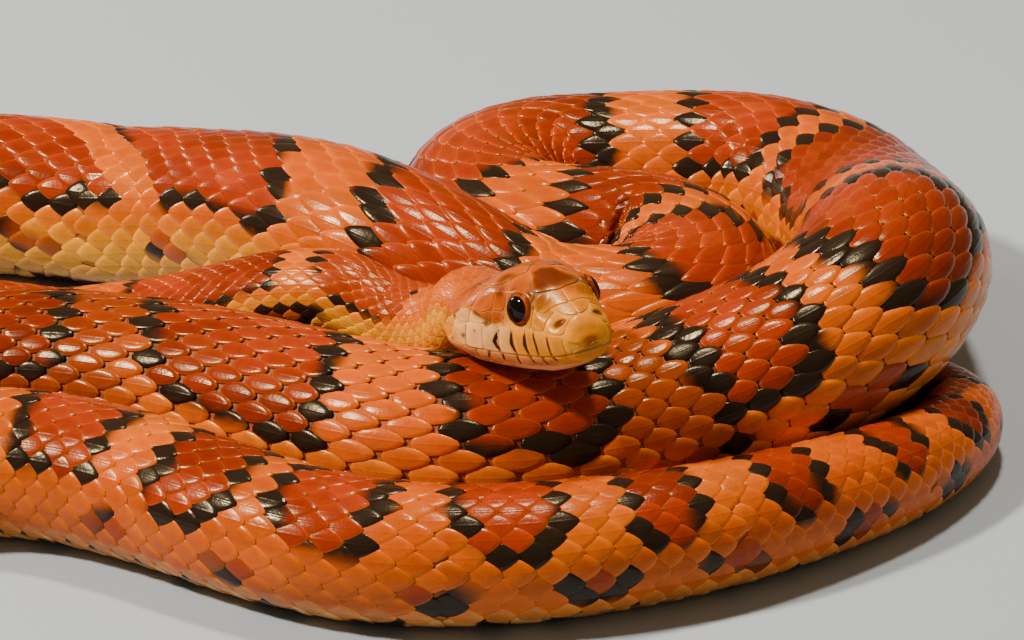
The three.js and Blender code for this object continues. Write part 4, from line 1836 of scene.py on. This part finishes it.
class Shader:
    """One material's node tree, built through a single node method."""

    def __init__(self, name: str) -> None:
        """Makes a material with an output and a Principled shader.

        Args:
            name: The material's name.
        """
        self.material = bpy.data.materials.new(name)
        self.material.use_nodes = True
        self.tree = self.material.node_tree
        self.tree.nodes.clear()
        self.out = self.tree.nodes.new("ShaderNodeOutputMaterial")
        self.surface = self.tree.nodes.new("ShaderNodeBsdfPrincipled")
        self.tree.links.new(self.surface.outputs["BSDF"], self.out.inputs["Surface"])

    def plug(self, socket: NodeSocket, value: object) -> None:
        """Links a socket to a value or sets its own number or colour."""
        if isinstance(value, Value):
            value = value.socket
        if isinstance(value, NodeSocket):
            self.tree.links.new(value, socket)
        else:
            socket.default_value = value

    def node(self, kind: str, settings: dict[str, object], inputs: dict[object, object]) -> Node:
        """Adds a node.

        Args:
            kind: The node's type.
            settings: Its own settings, set first.
            inputs: Values or links by socket name or number.

        Returns:
            The node.
        """
        node = self.tree.nodes.new(kind)
        for key, value in settings.items():
            setattr(node, key, value)
        for key, value in inputs.items():
            self.plug(node.inputs[key], value)
        return node

    def value(self, kind: str, settings: dict[str, object], inputs: dict[object, object],
              output: object = 0) -> Value:
        """Adds a node and gives one of its outputs as a value."""
        return Value(self, self.node(kind, settings, inputs).outputs[output])

    def mix(self, share: Value | float, first: object, second: object,
            way: str = "MIX") -> NodeSocket:
        """Mixes two colours by a share."""
        settings = {"data_type": "RGBA", "blend_type": way}
        return self.node("ShaderNodeMix", settings, {0: share, 6: first, 7: second}).outputs[2]

    def vector(self, operation: str, first: object, second: object) -> NodeSocket:
        """One Vector Math node on two vectors."""
        return self.node("ShaderNodeVectorMath", {"operation": operation}, {0: first, 1: second}).outputs[0]

    def noise(self, scale: float, detail: float, vector: object) -> Value:
        """A noise texture over a vector."""
        inputs = {"Vector": vector, "Scale": scale, "Detail": detail}
        return self.value("ShaderNodeTexNoise", {}, inputs, "Fac")

    def bump(self, strength: float, distance: float, height: Value) -> NodeSocket:
        """A bumped normal from a height."""
        inputs = {"Strength": strength, "Distance": distance, "Height": height}
        return self.node("ShaderNodeBump", {}, inputs).outputs["Normal"]

    def attribute(self, name: str) -> tuple[Node, Value]:
        """The node of a mesh attribute, and its fourth number."""
        node = self.node("ShaderNodeAttribute", {"attribute_name": name}, {})
        return node, Value(self, node.outputs["Alpha"])

    def place(self) -> NodeSocket:
        """Object coordinates, in metres."""
        return self.node("ShaderNodeTexCoord", {}, {}).outputs["Object"]

    def finish(self, **inputs: object) -> Material:
        """Sets the shader's own sockets, by name with spaces for underscores."""
        for name, value in inputs.items():
            self.plug(self.surface.inputs[name.replace("_", " ")], value)
        return self.material


@dataclass(frozen=True)
class ScaleFinish:
    """Horn over coloured skin: glossy, with a painted highlight at the rim and painted shade at the root and
    in the gaps, and faintly striped along the scale.
    """

    name: str
    roughness: float
    grain: float
    bump: float
    keel: float
    shine: float
    # seam sets how strongly the very rim of each scale is painted; pale turns it from painted shade in the
    # gaps towards a painted highlight along the edge.
    seam: float
    pale: float
    # How strongly each scale's rim is lightened by the painted highlight.
    rim: float = 0.35
    warmth: Colour = (1.0, 0.93, 0.86, 1.0)
    depth: Colour = (0.52, 0.40, 0.34, 1.0)
    # The colour of the painted shade in the gaps between scales.
    gap_shade_colour: Colour = (0.45, 0.30, 0.25, 1.0)
    # The colour of the painted highlight on rims and pale seams.
    highlight_tone: Colour = (1.0, 0.34, 0.014, 1.0)
    glow: Colour = (1.0, 0.88, 0.72, 1.0)
    bump_depth: float = 0.00015

    def material(self) -> Material:
        """Builds the finish from the scale's markings and each place's lay on the scale.

        Returns:
            The material.
        """
        shader = Shader(self.name)
        marks, black = shader.attribute("Markings")
        lay, tint = shader.attribute("Lay")
        parts = shader.node("ShaderNodeSeparateXYZ", {}, {"Vector": lay.outputs["Vector"]})
        along, across, inner = (Value(shader, parts.outputs[k]) for k in range(3))
        place = shader.place()
        broad = shader.noise(420.0, 3.0, place)
        close = shader.noise(2600.0, 2.0, place)
        pigment = shader.mix(1.0, marks.outputs["Color"], self.warmth, "MULTIPLY")
        darker = shader.mix(1.0, pigment, self.depth, "MULTIPLY")
        # The painted highlight colour for rims and pale seams.
        highlight_colour = shader.mix(0.4, pigment, self.highlight_tone)
        speckle = broad.step(0.38, 0.68) * 0.5 + close.step(0.45, 0.7) * 0.3
        colour = shader.mix(speckle * self.grain, pigment, darker)
        centre = inner.step(0.1, 0.75) * (1.0 - black)
        colour = shader.mix(centre * 0.40, colour, darker)
        # Painted highlight: each scale's rim is lightened all round, for light caught on its edge.
        edge = (1.0 - inner.step(0.03, 0.22)) * (1.0 - black)
        colour = shader.mix(edge * self.rim, colour, highlight_colour)
        # Painted shade in the gaps between scales at the very rim, turned by pale towards a painted highlight
        # along the edge.
        seam = 1.0 - inner.step(0.0, 0.05)
        gap_shade = shader.mix(1.0, darker, self.gap_shade_colour, "MULTIPLY")
        colour = shader.mix(seam * self.seam, colour, shader.mix(self.pale, gap_shade, highlight_colour))
        # Painted shade: each scale is darker at its root, where the scale ahead overlaps it.
        root = (1.0 - along.step(-0.85, -0.25)) * 0.35
        colour = shader.mix(root, colour, darker)
        crest = (1.0 - across.math("ABSOLUTE").step(0.0, 0.16)) * self.keel
        rough = broad * 0.12 + tint * 0.08 + (self.roughness - 0.1)
        height = close * 0.35 + broad * 0.25 + crest
        return shader.finish(Base_Color=colour, Roughness=rough, Specular_IOR_Level=self.shine,
                             Normal=shader.bump(self.bump, self.bump_depth, height),
                             Specular_Tint=self.glow)


@dataclass(frozen=True)
class SkinFinish:
    """The stretched skin that shows between the scales."""

    name: str
    roughness: float
    stretched: Colour = (0.30, 0.040, 0.012, 1.0)
    fold: Colour = (0.14, 0.026, 0.008, 1.0)
    bump: float = 0.5
    bump_depth: float = 0.0002

    def material(self) -> Material:
        """Builds the finish, redder and darker where the skin is stretched.

        Returns:
            The material.
        """
        shader = Shader(self.name)
        marks, black = shader.attribute("Markings")
        lay, _ = shader.attribute("Lay")
        folds = shader.noise(1500.0, 4.0, shader.place())
        stretched = shader.value("ShaderNodeSeparateXYZ", {}, {"Vector": lay.outputs["Vector"]}, "Z")
        warm = shader.mix(stretched * 0.55, marks.outputs["Color"], self.stretched)
        colour = shader.mix(black, warm, marks.outputs["Color"])
        dim = (folds.step(0.35, 0.75) * 0.35 + 0.15) * (stretched * 0.8 + 0.2)
        colour = shader.mix(dim, colour, self.fold)
        return shader.finish(Base_Color=colour, Roughness=folds * 0.15 + self.roughness,
                             Normal=shader.bump(self.bump, self.bump_depth, folds))


@dataclass
class Eye:
    """One eye: a round pupil in a narrow ring of iris, under a clear scale."""

    head: Head
    sign: float
    seat: float = 0.05
    bulge: float = 0.98
    pupil: float = 1.46
    pupil_edge: Span = (-0.05, 0.04)
    iris_rim: Span = (1.58, 1.70)
    iris_light: Colour = (0.44, 0.080, 0.012, 1.0)
    iris_dark: Colour = (0.20, 0.026, 0.006, 1.0)
    iris_edge: Colour = (0.05, 0.012, 0.006, 1.0)
    pupil_colour: Colour = (0.003, 0.0025, 0.003, 1.0)
    rings: int = 36
    columns: int = 64

    def material(self, name: str) -> Material:
        """Builds the eye's finish around its own axis.

        Args:
            name: The material's name.

        Returns:
            The material.
        """
        shader = Shader(name)
        centre, axis = self.head.eye_in_world(self.sign)
        apart = shader.vector("SUBTRACT", shader.place(), tuple((centre - MIDDLE) * METRES))
        turned = shader.vector("CROSS_PRODUCT", apart, tuple(axis))
        radius = shader.value("ShaderNodeVectorMath", {"operation": "LENGTH"}, {0: turned}, "Value")
        streaks = shader.noise(2400.0, 4.0, turned)
        iris = shader.mix(streaks.step(0.3, 0.7), self.iris_light, self.iris_dark)
        rim = radius.step(*(edge * METRES for edge in self.iris_rim))
        iris = shader.mix(rim * 0.7, iris, self.iris_edge)
        pupil = 1.0 - radius.step(*((self.pupil + edge) * METRES for edge in self.pupil_edge))
        colour = shader.mix(pupil, iris, self.pupil_colour)
        return shader.finish(Base_Color=colour, Roughness=0.12, Specular_IOR_Level=0.0, Coat_Weight=0.5,
                             Coat_Roughness=0.02)

    def build(self, name: str) -> Object:
        """Builds the eye as one closed lens.

        Args:
            name: The piece's name.

        Returns:
            The new piece.
        """
        head = self.head
        centre, axis, upright, level = head.eye_frame(self.sign)
        lat = np.linspace(0, math.pi, self.rings + 1)[1:-1, None]
        lon = (2 * math.pi * np.arange(self.columns) / self.columns)[None, :]
        radius = head.eye_radius * np.sin(lat)
        depth = np.where(np.cos(lat) > 0, self.bulge, 1.0) * np.cos(lat)
        disc = (radius * np.cos(lon))[..., None] * level + (radius * np.sin(lon))[..., None] * upright
        points = (centre + self.seat * axis + disc + (depth + 0 * lon)[..., None] * axis).reshape(-1, 3)
        tips = np.array([centre + (self.seat + self.bulge) * axis, centre + (self.seat - 1.0) * axis])
        grid = np.arange(len(points)).reshape(len(lat), self.columns)
        nearby = np.roll(grid, -1, axis=1)
        corners = ((grid[:-1], grid[1:], nearby[1:]), (grid[:-1], nearby[1:], nearby[:-1]))
        faces = [np.stack(three, -1).reshape(-1, 3) for three in corners]
        total = len(points)
        faces.append(np.column_stack([np.full(self.columns, total), grid[0], nearby[0]]))
        faces.append(np.column_stack([grid[-1], np.full(self.columns, total + 1), nearby[-1]]))
        points = head.to_world(np.vstack([points, tips]))
        triangles = np.vstack(faces)
        spread = 0.48 * (lat / math.pi)
        flat = np.stack([0.5 + spread * np.cos(lon), 0.5 + spread * np.sin(lon)], axis=-1).reshape(-1, 2)
        flat = np.vstack([flat, [[0.5, 0.5], [0.98, 0.5]]])
        parts = MeshParts()
        plain, soft = np.zeros((len(points), 4)), np.ones(len(triangles), bool)
        parts.add(points, triangles, soft, plain, plain, flat[triangles].reshape(-1, 2))
        return parts.build(name, self.material(name + "_finish"))


def aimed(place: Point, target: Point) -> Euler:
    """The turn that points a lamp or a camera from a place to a target."""
    return (Vector(target) - Vector(place)).to_track_quat("-Z", "Y").to_euler()


@dataclass(frozen=True)
class AreaLight:
    """A soft rectangular lamp."""

    name: str
    place: Point
    aim: Point
    size: Span
    power: float
    colour: Point

    def build(self) -> None:
        """Hangs the lamp and turns it to what it lights."""
        data = bpy.data.lights.new(self.name, "AREA")
        data.shape = "RECTANGLE"
        data.size, data.size_y = self.size
        data.energy = self.power
        data.color = self.colour
        lamp = bpy.data.objects.new(self.name, data)
        lamp.location = self.place
        lamp.rotation_euler = aimed(self.place, self.aim)
        bpy.context.scene.collection.objects.link(lamp)


@dataclass
class Studio:
    """The floor, the lamps and the camera."""

    floor_colour: Colour = (0.38, 0.47, 0.72, 1.0)
    floor_size: float = 6.0
    sky_colour: Colour = (1.0, 0.72, 0.34, 1.0)
    sky_strength: float = 0.24
    eye_point: Point = (0.0502, -0.44034, 0.20745)
    target: Point = (0.0502, 0.0009, 0.011)
    lens: float = 142.4
    nearest: float = 0.02
    lamps: tuple[AreaLight, ...] = (
        AreaLight("key", (-0.52, -0.16, 0.62), (0.0, 0.0, 0.0), (0.08, 0.07), 11.5, (1.0, 0.84, 0.55)),
        AreaLight("top", (0.10, 0.16, 0.72), (0.05, 0.0, 0.0), (0.08, 0.07), 4.6, (1.0, 0.84, 0.55)),
        AreaLight("window", (-0.60, 0.50, 0.25), (0.0, 0.0, 0.0), (0.10, 0.12), 1.9, (1.0, 0.86, 0.62)),
    )

    def build(self) -> None:
        """Builds the studio round the snake."""
        self.floor()
        for lamp in self.lamps:
            lamp.build()
        world = bpy.data.worlds.new("studio")
        world.use_nodes = True
        sky = world.node_tree.nodes["Background"]
        sky.inputs["Color"].default_value = self.sky_colour
        sky.inputs["Strength"].default_value = self.sky_strength
        bpy.context.scene.world = world
        data = bpy.data.cameras.new("camera")
        data.lens = self.lens
        data.clip_start = self.nearest
        camera = bpy.data.objects.new("camera", data)
        camera.location = self.eye_point
        camera.rotation_euler = aimed(self.eye_point, self.target)
        bpy.context.scene.collection.objects.link(camera)
        bpy.context.scene.camera = camera

    def floor(self) -> None:
        """Lays the plain floor."""
        half = self.floor_size / 2
        corners = [(-half, -half, 0), (half, -half, 0), (half, half, 0), (-half, half, 0)]
        mesh = bpy.data.meshes.new("floor")
        mesh.from_pydata(corners, [], [(0, 1, 2, 3)])
        mesh.materials.append(Shader("floor_finish").finish(Base_Color=self.floor_colour, Roughness=0.9))
        floor = bpy.data.objects.new("floor", mesh)
        bpy.context.scene.collection.objects.link(floor)
        floor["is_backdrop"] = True


def flesh_nodes() -> list[str]:
    """The solid lengths of flesh that the skin stands for."""
    return sorted(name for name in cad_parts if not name.startswith("eye"))


def main() -> None:
    """Builds the snake and the studio, and reports each piece."""
    start_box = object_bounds()
    Studio().build()
    body = Body()
    markings = Markings(body)
    coat = Coat(body, markings)
    shields = HeadShields(body, coat)
    # The scales' seams are painted shade; the shields' seams are mostly painted highlight and partly painted
    # shade.
    scale_finish = ScaleFinish("scale_finish", roughness=0.23, grain=0.6, bump=0.4, keel=0.28, shine=0.27,
                               seam=0.6, pale=0.0).material()
    shield_finish = ScaleFinish("shield_finish", roughness=0.22, grain=0.6, bump=0.3, keel=0.0, shine=0.3,
                                seam=0.5, pale=0.7).material()
    skin_finish = SkinFinish("skin_finish", roughness=0.5).material()
    pieces = [Skin(body, markings, coat.unwrap).build("skin", skin_finish)]
    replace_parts(pieces[0], *flesh_nodes())
    ends = (10.0, 110.0, 190.0, 400.0, 620.0, 860.0, 950.0, body.length - 1.5)
    for number, (start, end) in enumerate(zip(ends[:-1], ends[1:]), 1):
        pieces.append(coat.scales(f"scales_{number}", start, end, scale_finish, shields))
    pieces.append(coat.belly("belly_plates", scale_finish))
    pieces.append(shields.build("head_shields", shield_finish))
    for name, sign in (("eye_left", 1.0), ("eye_right", -1.0)):
        eye = Eye(body.head, sign).build(f"{name}_lens")
        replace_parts(eye, name)
        pieces.append(eye)
    for piece in pieces:
        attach(piece, "root")
        LOG.info("%s: %d triangles", piece.name, len(piece.data.polygons))
    LOG.info("all: %d triangles", sum(len(piece.data.polygons) for piece in pieces))
    boxes = [[list(corner) for corner in box] for box in (start_box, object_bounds())]


if __name__ == "__main__":
    main()
